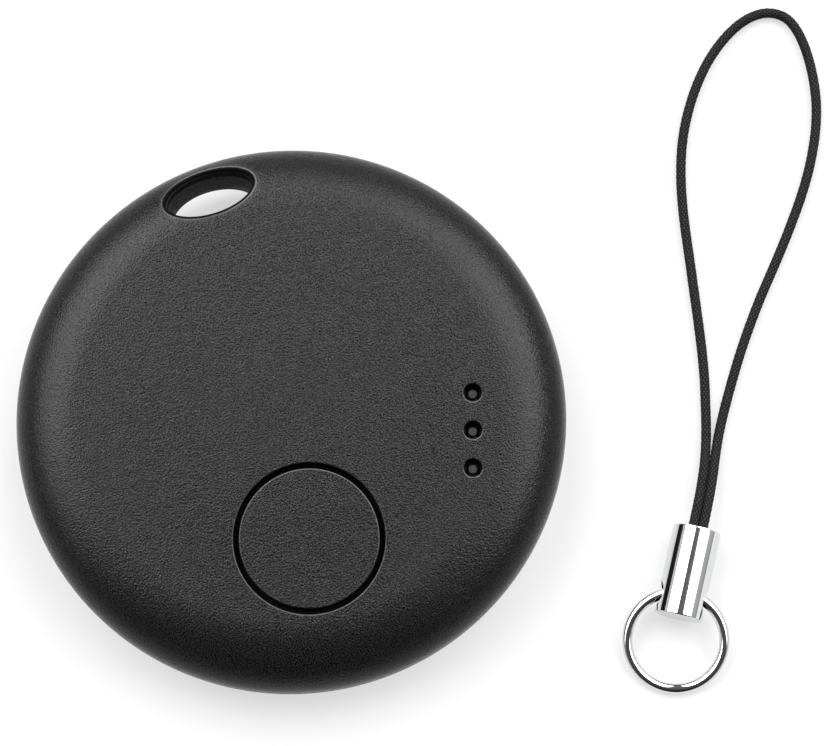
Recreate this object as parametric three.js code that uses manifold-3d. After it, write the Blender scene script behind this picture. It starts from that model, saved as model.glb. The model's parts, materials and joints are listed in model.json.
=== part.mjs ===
// A round Bluetooth tracker tag and its key strap.
//
// The tag is a two-shell plastic case around a circuit board, a piezo sounder and a coin
// cell, with a push button, three sound ports and a lanyard slot. The strap is a loop of
// braided cord held in a metal ferrule, with a jump ring through the ferrule's cross hole.
//
// Millimetres, +Z up. The tag lies on its back: the origin is on the surface below its
// centre, and the strap lies on the same surface beside it.

import * as THREE from 'three';
import { mergeVertices } from 'three/addons/utils/BufferGeometryUtils.js';
import Module from 'manifold-3d';

const wasm = await Module();
wasm.setup();

// ---------------------------------------------------------------- driving dimensions

// Case
const CASE_RADIUS = 21;
const CASE_HEIGHT = 8;
const SEAM_HEIGHT = 4;
const SEAM_GAP = 0.1;
const FRONT_RIM_WIDTH = 5.2;
const REAR_RIM_WIDTH = 3.4;
const RIM_EXPONENT = 2.2;
const FRONT_CROWN = 0.25;
const ROOF_UNDERSIDE = 6.8;
const ROOF_FLAT_RADIUS = 16;
const ROOF_SLOPE = [[18.3, 5.3], [17.4, 6.3]];
const INNER_RADIUS = 18.3;
const FLOOR_TOP = 1.0;

// Lanyard slot: an ellipse near the rim, lying roughly along it
const SLOT_CENTRE = [-6.33, 16.93];
const SLOT_TURN = THREE.MathUtils.degToRad(17.6);
const SLOT_FRONT = [3.6, 1.88];
const SLOT_REAR = [3.4, 1.68];
const SLOT_COLLAR_WALL = 0.55;
const SLOT_COLLAR_TOP = 5.0;
const SLOT_LAND = [5.3, 3.6];
const COLLAR_GAP = 0.1;
const LAND_CLEARANCE = 0.3;

// Gasket between the shells
const GASKET_RADIUS = 19.1;
const GASKET_SLOT = [4.55, 2.85];
const GASKET_WIDTH = 0.5;
const GASKET_BOTTOM = 3.57;
const GASKET_TOP = 4.03;
const GROOVE_CLEARANCE = 0.1;

// Push button
const BUTTON_CENTRE = [1.56, -9.72];
const BUTTON_RADIUS = 5.33;
const BUTTON_WELL_RADIUS = 5.71;
const BUTTON_FLANGE_RADIUS = 6.3;
const BUTTON_FLANGE = [6.7, 7.0];
const BUTTON_LEDGE = 7.2;
const BUTTON_POCKET_RADIUS = 6.7;
const PLUNGER_RADIUS = 0.8;
const PLUNGER = [6.1, 6.6];

// Sound ports, in a line along Y
const PORT_X = 13.78;
const PORT_MIDDLE_Y = -1.55;
const PORT_PITCH = 2.86;
const PORT_RADIUS = 0.68;
const POST_RADIUS = 0.36;
const POST_TOP = 7.2;
const INSERT_BAR = [6.4, 6.75];
const INSERT_BAR_WIDTH = 0.7;
const INSERT_OVERHANG = 1.3;
const MEMBRANE = [6.28, 6.36];
const MEMBRANE_WIDTH = 1.8;

// Circuit board and its screws
const BOARD = [4.95, 5.55];
const BOARD_RADIUS = 16.2;
const SCREW_CIRCLE = 14.2;
const SCREW_ANGLES = [45, 200, 320];
const SCREW_HOLE_RADIUS = 0.65;
const BOSS_RADIUS = 1.3;
const BOSS_BORE_RADIUS = 0.55;

// Coin cell, 20 mm by 3.2 mm
const CELL_RADIUS = 10;
const CELL = [1.3, 4.5];
const GROMMET_RADII = [8.8, 9.35];
const GROMMET = [3.15, 4.2];
const CELL_SPACE_RADIUS = 10.3;
const CARRIER_FLANGE = { radius: 15.6, bottom: 2.25, top: 2.9 };
const CARRIER_WALL = { radius: 11.3, top: 4.9 };

// Battery door
const DOOR_RADIUS = 11.65;
const DOOR_OPENING_RADIUS = 11.8;
const DOOR_COLLAR_TOP = 2.2;
const DOOR_SKIRT = { inner: 10.45, outer: 11.25, top: 2 };
const DOOR_RIB = { inner: 6.3, outer: 7 };
const DOOR_CHAMFER = 0.2;
const DOOR_SEAL = { radius: 11.52, height: 1.45, thickness: 0.22, facets: 6 };
const PRY_NOTCH_WIDTH = 5;
const PRY_NOTCH_DEPTH = 0.5;

// Piezo sounder
const PIEZO_CENTRE = [3.5, 4.5];
const PIEZO_RADIUS = 6;
const PIEZO_DISC = [6.3, 6.5];
const CERAMIC_RADIUS = 4.2;
const CERAMIC = [6.06, 6.28];
const FOAM_INNER_RADIUS = 5.2;
const FOAM = [6.52, 6.78];
const OUTER_PIN_OFFSET = 5.1;

// Strap: the ferrule's axis runs from its cross hole towards the cord
const FERRULE_RADIUS = 1.85;
const FERRULE_HOLE = [29.82, -13.57];
const FERRULE_TURN = THREE.MathUtils.degToRad(-13.4);
const FERRULE_BELOW_HOLE = 1.5;
const FERRULE_BEVEL = 0.12;
const FERRULE_ABOVE_HOLE = 5.48;
const CROSS_HOLE_RADIUS = 0.95;
const CORD_BORE_RADIUS = 0.95;
const CORD_BORE_DEPTH = 2.4;
const RING_RADIUS = 3.7;
const RING_WIRE_RADIUS = 0.4;
const RING_REACH = 3.25;
const RING_OFFSET = 0.28;
const CORD_RADIUS = 0.4;

// The cord's route, from the ferrule round the loop and back to it
const CORD_ROUTE = [
  [30.77, -7.86, 1.85],
  [31.2, -6.0, 1.74],
  [31.58, -4.2, 1.3],
  [31.84, -2.4, 0.8],
  [32.0, -0.5, 0.5],
  [32.05, 1.5, 0.4],
  [32.0, 3.8, 0.4],
  [31.8, 6.4, 0.4],
  [31.4, 10.0, 0.4],
  [31.0, 13.4, 0.4],
  [30.6, 16.9, 0.4],
  [30.45, 20.0, 0.4],
  [30.65, 23.0, 0.4],
  [31.3, 25.9, 0.4],
  [32.5, 28.9, 0.4],
  [34.1, 31.3, 0.4],
  [35.9, 32.9, 0.4],
  [37.6, 33.45, 0.4],
  [39.1, 33.0, 0.4],
  [40.2, 31.4, 0.4],
  [40.95, 28.9, 0.4],
  [41.3, 26.0, 0.4],
  [41.1, 23.1, 0.4],
  [40.4, 19.9, 0.4],
  [39.3, 16.7, 0.4],
  [37.9, 13.3, 0.4],
  [36.4, 9.9, 0.4],
  [35.1, 6.5, 0.4],
  [34.2, 3.7, 0.4],
  [33.55, 1.2, 0.4],
  [33.1, -0.8, 0.5],
  [32.77, -2.6, 0.8],
  [32.43, -4.35, 1.3],
  [32.03, -6.2, 1.74],
  [31.6, -8.05, 1.85],
];

// Facets round a full turn
const LARGE_TURN = 40;
const MEDIUM_TURN = 24;
const SMALL_TURN = 12;
const SLOT_TURN_STEPS = 24;
const RIM_STEPS = 6;
const CORD_STEPS = 46;
const RING_STEPS = 36;
const WIRE_FACETS = 8;
const CROSS_HOLE_FACETS = 16;

// ---------------------------------------------------------------- geometry helpers

// A closed three.js geometry as a solid, with its faces turned outwards.
function toSolid(geometry) {
  const bare = geometry.clone();
  bare.deleteAttribute('normal');
  bare.deleteAttribute('uv');
  const welded = mergeVertices(bare, 1e-5);
  const position = welded.attributes.position.array;
  const corners = welded.index.array;
  const triangles = [];
  let volume = 0;
  for (let i = 0; i < corners.length; i += 3) {
    const [a, b, c] = [corners[i], corners[i + 1], corners[i + 2]];
    if (a === b || b === c || c === a) continue;
    const [p, q, r] = [a, b, c].map((v) => new THREE.Vector3().fromArray(position, 3 * v));
    volume += p.dot(q.cross(r));
    triangles.push([a, b, c]);
  }
  if (volume < 0) triangles.forEach((corner) => corner.reverse());
  return new wasm.Manifold(new wasm.Mesh({
    numProp: 3,
    vertProperties: new Float32Array(position),
    triVerts: new Uint32Array(triangles.flat()),
  }));
}

function toGeometry(solid) {
  const { vertProperties, triVerts } = solid.getMesh();
  const geometry = new THREE.BufferGeometry();
  geometry.setAttribute('position', new THREE.BufferAttribute(new Float32Array(vertProperties), 3));
  geometry.setIndex(new THREE.BufferAttribute(new Uint32Array(triVerts), 1));
  geometry.computeVertexNormals();
  return geometry;
}

// A solid of revolution about +Z from [radius, height] pairs.
function turned(profile, facets = LARGE_TURN) {
  const points = profile.map(([radius, height]) => new THREE.Vector2(radius, height));
  return toSolid(new THREE.LatheGeometry(points, facets).rotateX(Math.PI / 2));
}

function closedLoop(profile) {
  return [...profile, profile[0]];
}

function ring(innerRadius, outerRadius, bottom, top, facets = LARGE_TURN) {
  const corners = [
    [innerRadius, bottom],
    [outerRadius, bottom],
    [outerRadius, top],
    [innerRadius, top],
  ];
  return turned(closedLoop(corners), facets);
}

function rod(radius, bottom, top, [x, y] = [0, 0], facets = MEDIUM_TURN) {
  const geometry = new THREE.CylinderGeometry(radius, radius, top - bottom, facets);
  geometry.rotateX(Math.PI / 2);
  geometry.translate(x, y, (bottom + top) / 2);
  return toSolid(geometry);
}

function block(width, depth, bottom, top, [x, y] = [0, 0]) {
  const geometry = new THREE.BoxGeometry(width, depth, top - bottom);
  geometry.translate(x, y, (bottom + top) / 2);
  return toSolid(geometry);
}

// An upright elliptical prism on the lanyard slot's centre.
function slotPrism([semiLength, semiWidth], bottom, top) {
  const shape = new THREE.Shape();
  shape.absellipse(0, 0, semiLength, semiWidth, 0, 2 * Math.PI);
  const options = { depth: top - bottom, bevelEnabled: false, curveSegments: SLOT_TURN_STEPS };
  const geometry = new THREE.ExtrudeGeometry(shape, options);
  geometry.rotateZ(SLOT_TURN);
  geometry.translate(SLOT_CENTRE[0], SLOT_CENTRE[1], bottom);
  return toSolid(geometry);
}

// A flat strip bent in the XZ plane, with its width along Y.
function bentStrip(outline, width, [x, y]) {
  const shape = new THREE.Shape(outline.map(([along, height]) => new THREE.Vector2(along, height)));
  const geometry = new THREE.ExtrudeGeometry(shape, { depth: width, bevelEnabled: false });
  geometry.rotateX(Math.PI / 2);
  geometry.translate(x, y + width / 2, 0);
  return toSolid(geometry);
}

function grow([semiLength, semiWidth], amount) {
  return [semiLength + amount, semiWidth + amount];
}

function onCircle(radius, degrees) {
  const angle = THREE.MathUtils.degToRad(degrees);
  return [radius * Math.cos(angle), radius * Math.sin(angle)];
}

function finish(color, roughness, metalness) {
  return new THREE.MeshStandardMaterial({ color, roughness, metalness, flatShading: true });
}

function addBody(parent, name, solid, material) {
  const mesh = new THREE.Mesh(toGeometry(solid), material);
  mesh.name = name;
  parent.add(mesh);
}

// ---------------------------------------------------------------- materials

const shellPlastic = finish(0x2b2b2c, 0.62, 0);
const buttonPlastic = finish(0x2a2a2b, 0.62, 0);
const doorPlastic = finish(0x262627, 0.6, 0);
const carrierPlastic = finish(0x1b1c1e, 0.5, 0);
const insertPlastic = finish(0x3a3a3b, 0.55, 0);
const switchPlastic = finish(0x161616, 0.4, 0);
const sealSilicone = finish(0x33363a, 0.75, 0);
const meshFabric = finish(0x1d1d1e, 0.9, 0);
const laminate = finish(0x1d4d33, 0.45, 0);
const chipPackage = finish(0x18191b, 0.5, 0);
const crystalCan = finish(0xc9c9c6, 0.25, 1);
const antennaCeramic = finish(0xe4e0d6, 0.4, 0);
const capacitorCeramic = finish(0xb08a5e, 0.45, 0);
const resistorBody = finish(0x1f2023, 0.4, 0);
const inductorFerrite = finish(0x4a4a4d, 0.6, 0);
const piezoBrass = finish(0xc9a24a, 0.3, 1);
const piezoCeramic = finish(0xd8d4c6, 0.5, 0);
const goldPlate = finish(0xd7b15a, 0.25, 1);
const springSteel = finish(0xb9b9b6, 0.3, 1);
const cellSteel = finish(0xc4c5c6, 0.28, 1);
const cellGrommet = finish(0x3c3f44, 0.6, 0);
const cellCore = finish(0x2f3033, 0.8, 0);
const screwSteel = finish(0x8f9092, 0.35, 1);
const chrome = finish(0xdadcde, 0.08, 1);
const cordNylon = finish(0x1c1c1d, 0.75, 0);

// ---------------------------------------------------------------- case outline

// The front's outside, from the centre out and down to the seam.
function frontOutline(base) {
  const outline = [[0, CASE_HEIGHT]];
  const flatRadius = CASE_RADIUS - FRONT_RIM_WIDTH;
  for (let step = RIM_STEPS; step >= 0; step -= 1) {
    const angle = (step / RIM_STEPS) * (Math.PI / 2);
    const across = Math.max(Math.cos(angle), 0) ** (2 / RIM_EXPONENT);
    const rise = Math.sin(angle) ** (2 / RIM_EXPONENT);
    const radius = flatRadius + FRONT_RIM_WIDTH * across;
    outline.push([radius, base + (CASE_HEIGHT - FRONT_CROWN - base) * rise]);
  }
  outline.splice(1, 0, [flatRadius * 0.6, CASE_HEIGHT - FRONT_CROWN * 0.36]);
  return outline;
}

// The rear's outside, from the flat back out and up to the seam.
function rearOutline(top) {
  const outline = [];
  for (let step = RIM_STEPS; step >= 0; step -= 1) {
    const angle = (step / RIM_STEPS) * (Math.PI / 2);
    const across = Math.max(Math.cos(angle), 0) ** (2 / RIM_EXPONENT);
    const drop = Math.sin(angle) ** (2 / RIM_EXPONENT);
    outline.push([CASE_RADIUS - REAR_RIM_WIDTH + REAR_RIM_WIDTH * across, top * (1 - drop)]);
  }
  return outline;
}

const FRONT_BASE = SEAM_HEIGHT + SEAM_GAP / 2;
const REAR_TOP = SEAM_HEIGHT - SEAM_GAP / 2;
const PORT_CENTRES = [1, 0, -1].map((row) => [PORT_X, PORT_MIDDLE_Y + row * PORT_PITCH]);
const SCREW_CENTRES = SCREW_ANGLES.map((degrees) => onCircle(SCREW_CIRCLE, degrees));

const frontEnvelope = turned([...frontOutline(FRONT_BASE), [0, FRONT_BASE]]);

// A flat ring that follows the case and detours round the lanyard slot.
function gasketRing(width, bottom, top) {
  const half = width / 2;
  const outer = rod(GASKET_RADIUS + half, bottom, top, [0, 0], LARGE_TURN)
    .subtract(slotPrism(grow(GASKET_SLOT, -half), bottom - 1, top + 1));
  const inner = rod(GASKET_RADIUS - half, bottom - 1, top + 1, [0, 0], LARGE_TURN)
    .subtract(slotPrism(grow(GASKET_SLOT, half), bottom - 2, top + 2));
  return outer.subtract(inner);
}

// ---------------------------------------------------------------- case pieces

function frontShell() {
  const roof = [
    [INNER_RADIUS, FRONT_BASE],
    ...ROOF_SLOPE,
    [ROOF_FLAT_RADIUS, ROOF_UNDERSIDE],
    [0, ROOF_UNDERSIDE],
  ];
  const collarClearance = grow(SLOT_REAR, SLOT_COLLAR_WALL + COLLAR_GAP);
  const sleeve = slotPrism(SLOT_LAND, FRONT_BASE, CASE_HEIGHT).intersect(frontEnvelope);
  let shell = turned([...frontOutline(FRONT_BASE), ...roof]).add(sleeve);
  for (const centre of SCREW_CENTRES) {
    shell = shell.add(rod(BOSS_RADIUS, BOARD[1] + 0.05, ROOF_UNDERSIDE + 0.1, centre, SMALL_TURN));
    shell = shell.subtract(rod(BOSS_BORE_RADIUS, 5, BUTTON_LEDGE, centre, SMALL_TURN));
  }
  for (const centre of PORT_CENTRES) {
    shell = shell.subtract(rod(PORT_RADIUS, 6, 9, centre, SMALL_TURN));
  }
  return shell
    .subtract(slotPrism(SLOT_FRONT, 3, 9))
    .subtract(slotPrism(collarClearance, 3, SLOT_COLLAR_TOP + COLLAR_GAP / 2))
    .subtract(rod(BUTTON_WELL_RADIUS, 6, 9, BUTTON_CENTRE))
    .subtract(rod(BUTTON_POCKET_RADIUS, 6, BUTTON_LEDGE, BUTTON_CENTRE));
}

function rearShell() {
  const outside = rearOutline(REAR_TOP);
  const collarEnvelope = turned([
    [0, 0],
    ...outside,
    [CASE_RADIUS - 0.5, REAR_TOP],
    [CASE_RADIUS - 0.5, SLOT_COLLAR_TOP],
    [0, SLOT_COLLAR_TOP],
  ]);
  const collar = slotPrism(grow(SLOT_REAR, SLOT_COLLAR_WALL), -1, SLOT_COLLAR_TOP)
    .add(slotPrism(SLOT_LAND, -1, REAR_TOP))
    .intersect(collarEnvelope);
  const shell = turned(closedLoop([
    [DOOR_OPENING_RADIUS, 0],
    ...outside,
    [INNER_RADIUS, REAR_TOP],
    [INNER_RADIUS, FLOOR_TOP],
    [DOOR_OPENING_RADIUS + 1, FLOOR_TOP],
    [DOOR_OPENING_RADIUS + 1, DOOR_COLLAR_TOP],
    [DOOR_OPENING_RADIUS, DOOR_COLLAR_TOP],
  ]));
  return shell
    .add(collar)
    .subtract(slotPrism(SLOT_REAR, -2, 6))
    .subtract(gasketRing(GASKET_WIDTH + 2 * GROOVE_CLEARANCE, GASKET_BOTTOM - 0.05, 5))
    .subtract(block(PRY_NOTCH_WIDTH, 1.2, -1, PRY_NOTCH_DEPTH, [0, -DOOR_OPENING_RADIUS]));
}

function batteryDoor() {
  const plate = turned([
    [0, 0],
    [DOOR_RADIUS - DOOR_CHAMFER, 0],
    [DOOR_RADIUS, DOOR_CHAMFER],
    [DOOR_RADIUS, FLOOR_TOP],
    [DOOR_SKIRT.outer, FLOOR_TOP],
    [DOOR_SKIRT.outer, DOOR_SKIRT.top],
    [DOOR_SKIRT.inner, DOOR_SKIRT.top],
    [DOOR_SKIRT.inner, FLOOR_TOP],
    [DOOR_RIB.outer, FLOOR_TOP],
    [DOOR_RIB.outer, CELL[0] - 0.03],
    [DOOR_RIB.inner, CELL[0] - 0.03],
    [DOOR_RIB.inner, FLOOR_TOP],
    [0, FLOOR_TOP],
  ]);
  return plate.subtract(block(PRY_NOTCH_WIDTH, 1.4, -1, PRY_NOTCH_DEPTH, [0, -DOOR_RADIUS]));
}

function doorSeal() {
  const section = [];
  for (let corner = 0; corner < DOOR_SEAL.facets; corner += 1) {
    const [across, rise] = onCircle(DOOR_SEAL.thickness, (corner * 360) / DOOR_SEAL.facets);
    section.push([DOOR_SEAL.radius + across, DOOR_SEAL.height + rise]);
  }
  return turned(closedLoop(section));
}

function batteryCarrier() {
  const frame = turned(closedLoop([
    [CELL_SPACE_RADIUS, CARRIER_FLANGE.bottom],
    [CARRIER_FLANGE.radius, CARRIER_FLANGE.bottom],
    [CARRIER_FLANGE.radius, CARRIER_FLANGE.top],
    [CARRIER_WALL.radius, CARRIER_FLANGE.top],
    [CARRIER_WALL.radius, CARRIER_WALL.top],
    [CELL_SPACE_RADIUS, CARRIER_WALL.top],
  ]));
  return frame
    .subtract(slotPrism(grow(SLOT_LAND, LAND_CLEARANCE), 2, 5))
    .subtract(block(4, 4, CARRIER_FLANGE.top, 6, [-12, 0]));
}

// ---------------------------------------------------------------- button and switch

function buttonCap() {
  const face = rod(BUTTON_RADIUS, BUTTON_FLANGE[0], 9, BUTTON_CENTRE).intersect(frontEnvelope);
  const flange = rod(BUTTON_FLANGE_RADIUS, ...BUTTON_FLANGE, BUTTON_CENTRE);
  const stem = rod(1.1, PLUNGER[1] + 0.02, BUTTON_FLANGE[0] + 0.1, BUTTON_CENTRE, SMALL_TURN);
  return face.add(flange).add(stem);
}

function buttonGasket() {
  const outer = rod(6.5, BUTTON_FLANGE[1] + 0.03, BUTTON_LEDGE - 0.03, BUTTON_CENTRE);
  return outer.subtract(rod(5.8, 6, 8, BUTTON_CENTRE));
}

function switchBody() {
  const housing = block(3.6, 3.0, BOARD[1], 6.25, BUTTON_CENTRE);
  return housing.subtract(rod(PLUNGER_RADIUS + 0.06, BOARD[1] + 0.12, 7, BUTTON_CENTRE, SMALL_TURN));
}

// ---------------------------------------------------------------- ports and sounder

// A thin bar below the ports, with a post standing in each one.
function portInsert() {
  const barLength = 2 * (PORT_PITCH + INSERT_OVERHANG);
  let insert = block(INSERT_BAR_WIDTH, barLength, ...INSERT_BAR, [PORT_X, PORT_MIDDLE_Y]);
  for (const end of [-1, 1]) {
    const foot = [PORT_X, PORT_MIDDLE_Y + end * (barLength / 2 - 0.25)];
    insert = insert.add(block(1.8, 0.5, ...INSERT_BAR, foot));
  }
  for (const centre of PORT_CENTRES) {
    insert = insert.add(rod(POST_RADIUS, 6.5, POST_TOP, centre, SMALL_TURN));
  }
  return insert;
}

function portMembrane() {
  const length = 2 * (PORT_PITCH + INSERT_OVERHANG);
  return block(MEMBRANE_WIDTH, length, ...MEMBRANE, [PORT_X, PORT_MIDDLE_Y]);
}

function switchPlunger() {
  return rod(PLUNGER_RADIUS, ...PLUNGER, BUTTON_CENTRE, SMALL_TURN);
}

function foamRing() {
  return ring(FOAM_INNER_RADIUS, PIEZO_RADIUS, ...FOAM, MEDIUM_TURN);
}

function atPiezo(solid) {
  return solid.translate([PIEZO_CENTRE[0], PIEZO_CENTRE[1], 0]);
}

function springPin(top, offset) {
  const centre = [PIEZO_CENTRE[0] + offset, PIEZO_CENTRE[1]];
  const foot = rod(0.6, BOARD[1] + 0.01, BOARD[1] + 0.3, centre, SMALL_TURN);
  return foot.add(rod(0.35, BOARD[1] + 0.2, top, centre, SMALL_TURN));
}

// ---------------------------------------------------------------- board

function circuitBoard() {
  let board = rod(BOARD_RADIUS, ...BOARD, [0, 0], LARGE_TURN);
  board = board.subtract(slotPrism(grow(SLOT_LAND, LAND_CLEARANCE), 4, 6));
  for (const centre of SCREW_CENTRES) {
    board = board.subtract(rod(SCREW_HOLE_RADIUS, 4, 6, centre, SMALL_TURN));
  }
  return board;
}

// Parts soldered on the board's upper side: name, length, width, height, place, material.
const BOARD_PARTS = [
  ['bluetooth_chip', 5, 5, 0.85, [-9.2, -1], chipPackage],
  ['crystal', 2, 1.6, 0.6, [-9.2, 3.9], crystalCan],
  ['chip_antenna', 1.6, 3.2, 1.0, [-14.2, 2.2], antennaCeramic],
  ['capacitor_1', 1, 0.5, 0.5, [-5.2, 0.6], capacitorCeramic],
  ['capacitor_2', 1, 0.5, 0.5, [-5.2, -0.8], capacitorCeramic],
  ['capacitor_3', 1, 0.5, 0.5, [-5.2, -2.2], capacitorCeramic],
  ['resistor_1', 0.5, 1, 0.35, [-12.9, -1.6], resistorBody],
  ['resistor_2', 0.5, 1, 0.35, [-12.9, -0.1], resistorBody],
  ['inductor', 2, 1.6, 0.9, [-6.4, -5.6], inductorFerrite],
];

// A pan-head screw from below, with a cross recess.
function boardScrew([x, y]) {
  const head = BOARD[0] - 0.02;
  const screw = turned([
    [0, head - 0.5],
    [0.75, head - 0.5],
    [1, head - 0.3],
    [1, head],
    [0.5, head],
    [0.5, 6.9],
    [0.35, 7.1],
    [0, 7.1],
  ], SMALL_TURN);
  return screw
    .subtract(block(1.1, 0.25, 4, head - 0.25))
    .subtract(block(0.25, 1.1, 4, head - 0.25))
    .translate([x, y, 0]);
}

function positiveContact() {
  return bentStrip([
    [0.1, 3.0],
    [0.1, 4.7],
    [2.1, 4.7],
    [2.1, 4.92],
    [-0.08, 4.92],
    [-0.08, 3.0],
  ].map(([along, height]) => [-along, height]), 3, [-CELL_RADIUS - 0.12, 0]);
}

function negativeContact() {
  return bentStrip([
    [4, 4.8],
    [4, 4.93],
    [2, 4.93],
    [-4, 4.68],
    [-4.3, 4.68],
    [-4.3, 4.55],
    [-3.9, 4.55],
    [2.1, 4.8],
  ], 2.4, [0, 0]);
}

// ---------------------------------------------------------------- coin cell

function cellCan() {
  const [bottom, top] = CELL;
  const lip = top - 0.2;
  return turned([
    [0, bottom],
    [CELL_RADIUS - 0.25, bottom],
    [CELL_RADIUS, bottom + 0.25],
    [CELL_RADIUS, lip - 0.25],
    [CELL_RADIUS - 0.25, lip],
    [9.4, lip],
    [9.4, lip - 0.2],
    [9.7, lip - 0.35],
    [9.75, bottom + 0.3],
    [0, bottom + 0.3],
  ]);
}

function cellCap() {
  const top = CELL[1];
  return turned([
    [0, top],
    [8.5, top],
    [8.75, top - 0.25],
    [8.75, top - 1.1],
    [8.5, top - 1.1],
    [8.5, top - 0.35],
    [8.35, top - 0.25],
    [0, top - 0.25],
  ]);
}

function cellActiveCore() {
  return turned([
    [0, 1.65],
    [9.6, 1.65],
    [9.6, 3.05],
    [8.4, 3.05],
    [8.4, 4.1],
    [8.2, 4.2],
    [0, 4.2],
  ]);
}

// ---------------------------------------------------------------- strap

function cordLoop() {
  const section = new THREE.Shape();
  for (let corner = 0; corner < WIRE_FACETS; corner += 1) {
    const [x, y] = onCircle(CORD_RADIUS, ((corner + 0.5) * 360) / WIRE_FACETS);
    if (corner === 0) section.moveTo(x, y);
    else section.lineTo(x, y);
  }
  const route = new THREE.CatmullRomCurve3(CORD_ROUTE.map((point) => new THREE.Vector3(...point)));
  return toSolid(new THREE.ExtrudeGeometry(section, { steps: CORD_STEPS, extrudePath: route }));
}

// Built along +Y, with the cross hole's centre at the origin.
function ferrule() {
  const bevel = FERRULE_BEVEL;
  const mouth = FERRULE_ABOVE_HOLE;
  const tip = -FERRULE_BELOW_HOLE;
  const barrel = turned([
    [0, tip],
    [FERRULE_RADIUS - bevel, tip],
    [FERRULE_RADIUS, tip + bevel],
    [FERRULE_RADIUS, mouth - bevel],
    [FERRULE_RADIUS - bevel, mouth],
    [CORD_BORE_RADIUS, mouth],
    [CORD_BORE_RADIUS, mouth - CORD_BORE_DEPTH],
    [0, mouth - CORD_BORE_DEPTH],
  ], MEDIUM_TURN).rotate([-90, 0, 0]);
  const crossHole = rod(CROSS_HOLE_RADIUS, -3, 3, [0, 0], CROSS_HOLE_FACETS).rotate([0, 90, 0]);
  return barrel.subtract(crossHole);
}

// The ring hangs in the cross hole and leans down until its far side meets the surface.
function jumpRing() {
  const section = [];
  for (let corner = 0; corner < WIRE_FACETS; corner += 1) {
    const [across, rise] = onCircle(RING_WIRE_RADIUS, (corner * 360) / WIRE_FACETS);
    section.push([RING_RADIUS + across, rise]);
  }
  const drop = FERRULE_RADIUS - RING_WIRE_RADIUS;
  const lean = THREE.MathUtils.radToDeg(Math.asin(drop / (RING_REACH + RING_RADIUS)));
  return turned(closedLoop(section), RING_STEPS)
    .translate([RING_OFFSET, -RING_REACH, 0])
    .rotate([lean, 0, 0]);
}

// ---------------------------------------------------------------- assembly

const tag = new THREE.Group();
addBody(tag, 'front_shell', frontShell(), shellPlastic);
addBody(tag, 'rear_shell', rearShell(), shellPlastic.clone());
addBody(tag, 'shell_gasket', gasketRing(GASKET_WIDTH, GASKET_BOTTOM, GASKET_TOP), sealSilicone);
addBody(tag, 'battery_carrier', batteryCarrier(), carrierPlastic);
addBody(tag, 'button_cap', buttonCap(), buttonPlastic);
addBody(tag, 'button_gasket', buttonGasket(), sealSilicone.clone());
addBody(tag, 'switch_body', switchBody(), switchPlastic);
addBody(tag, 'switch_plunger', switchPlunger(), insertPlastic.clone());
addBody(tag, 'port_insert', portInsert(), insertPlastic);
addBody(tag, 'port_membrane', portMembrane(), meshFabric);

addBody(tag, 'circuit_board', circuitBoard(), laminate);
for (const [name, length, width, height, centre, material] of BOARD_PARTS) {
  const bottom = BOARD[1] + 0.01;
  addBody(tag, name, block(length, width, bottom, bottom + height, centre), material.clone());
}
SCREW_CENTRES.forEach((centre, index) => {
  addBody(tag, `board_screw_${index + 1}`, boardScrew(centre), screwSteel.clone());
});

addBody(tag, 'piezo_foam_ring', atPiezo(foamRing()), sealSilicone.clone());
addBody(tag, 'piezo_brass_disc', atPiezo(rod(PIEZO_RADIUS, ...PIEZO_DISC)), piezoBrass);
addBody(tag, 'piezo_ceramic', atPiezo(rod(CERAMIC_RADIUS, ...CERAMIC)), piezoCeramic);
addBody(tag, 'piezo_contact_inner', springPin(CERAMIC[0] - 0.02, 0), goldPlate);
addBody(tag, 'piezo_contact_outer', springPin(PIEZO_DISC[0] - 0.02, OUTER_PIN_OFFSET), goldPlate.clone());

addBody(tag, 'battery_contact_positive', positiveContact(), springSteel);
addBody(tag, 'battery_contact_negative', negativeContact(), springSteel.clone());
addBody(tag, 'coin_cell_can', cellCan(), cellSteel);
addBody(tag, 'coin_cell_cap', cellCap(), cellSteel.clone());
addBody(tag, 'coin_cell_grommet', ring(...GROMMET_RADII, ...GROMMET), cellGrommet);
addBody(tag, 'coin_cell_core', cellActiveCore(), cellCore);
addBody(tag, 'battery_door', batteryDoor(), doorPlastic);
addBody(tag, 'door_seal', doorSeal(), sealSilicone.clone());

const fitting = new THREE.Group();
fitting.position.set(FERRULE_HOLE[0], FERRULE_HOLE[1], FERRULE_RADIUS);
fitting.rotation.z = FERRULE_TURN;
addBody(fitting, 'strap_ferrule', ferrule(), chrome);
addBody(fitting, 'strap_ring', jumpRing(), chrome.clone());

const strap = new THREE.Group();
strap.add(fitting);
addBody(strap, 'strap_cord', cordLoop(), cordNylon);

const trackerTag = new THREE.Group();
trackerTag.add(tag, strap);

export default trackerTag;
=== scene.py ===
"""Looks of a round Bluetooth tracker tag and its key strap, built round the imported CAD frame.

Shapes are worked out in millimetres in the CAD's frame and scaled to metres as each piece is made.
"""

import json
import math

import bmesh
import bpy
import numpy as np
from mathutils import Matrix, Vector
from mathutils.geometry import delaunay_2d_cdt


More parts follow.
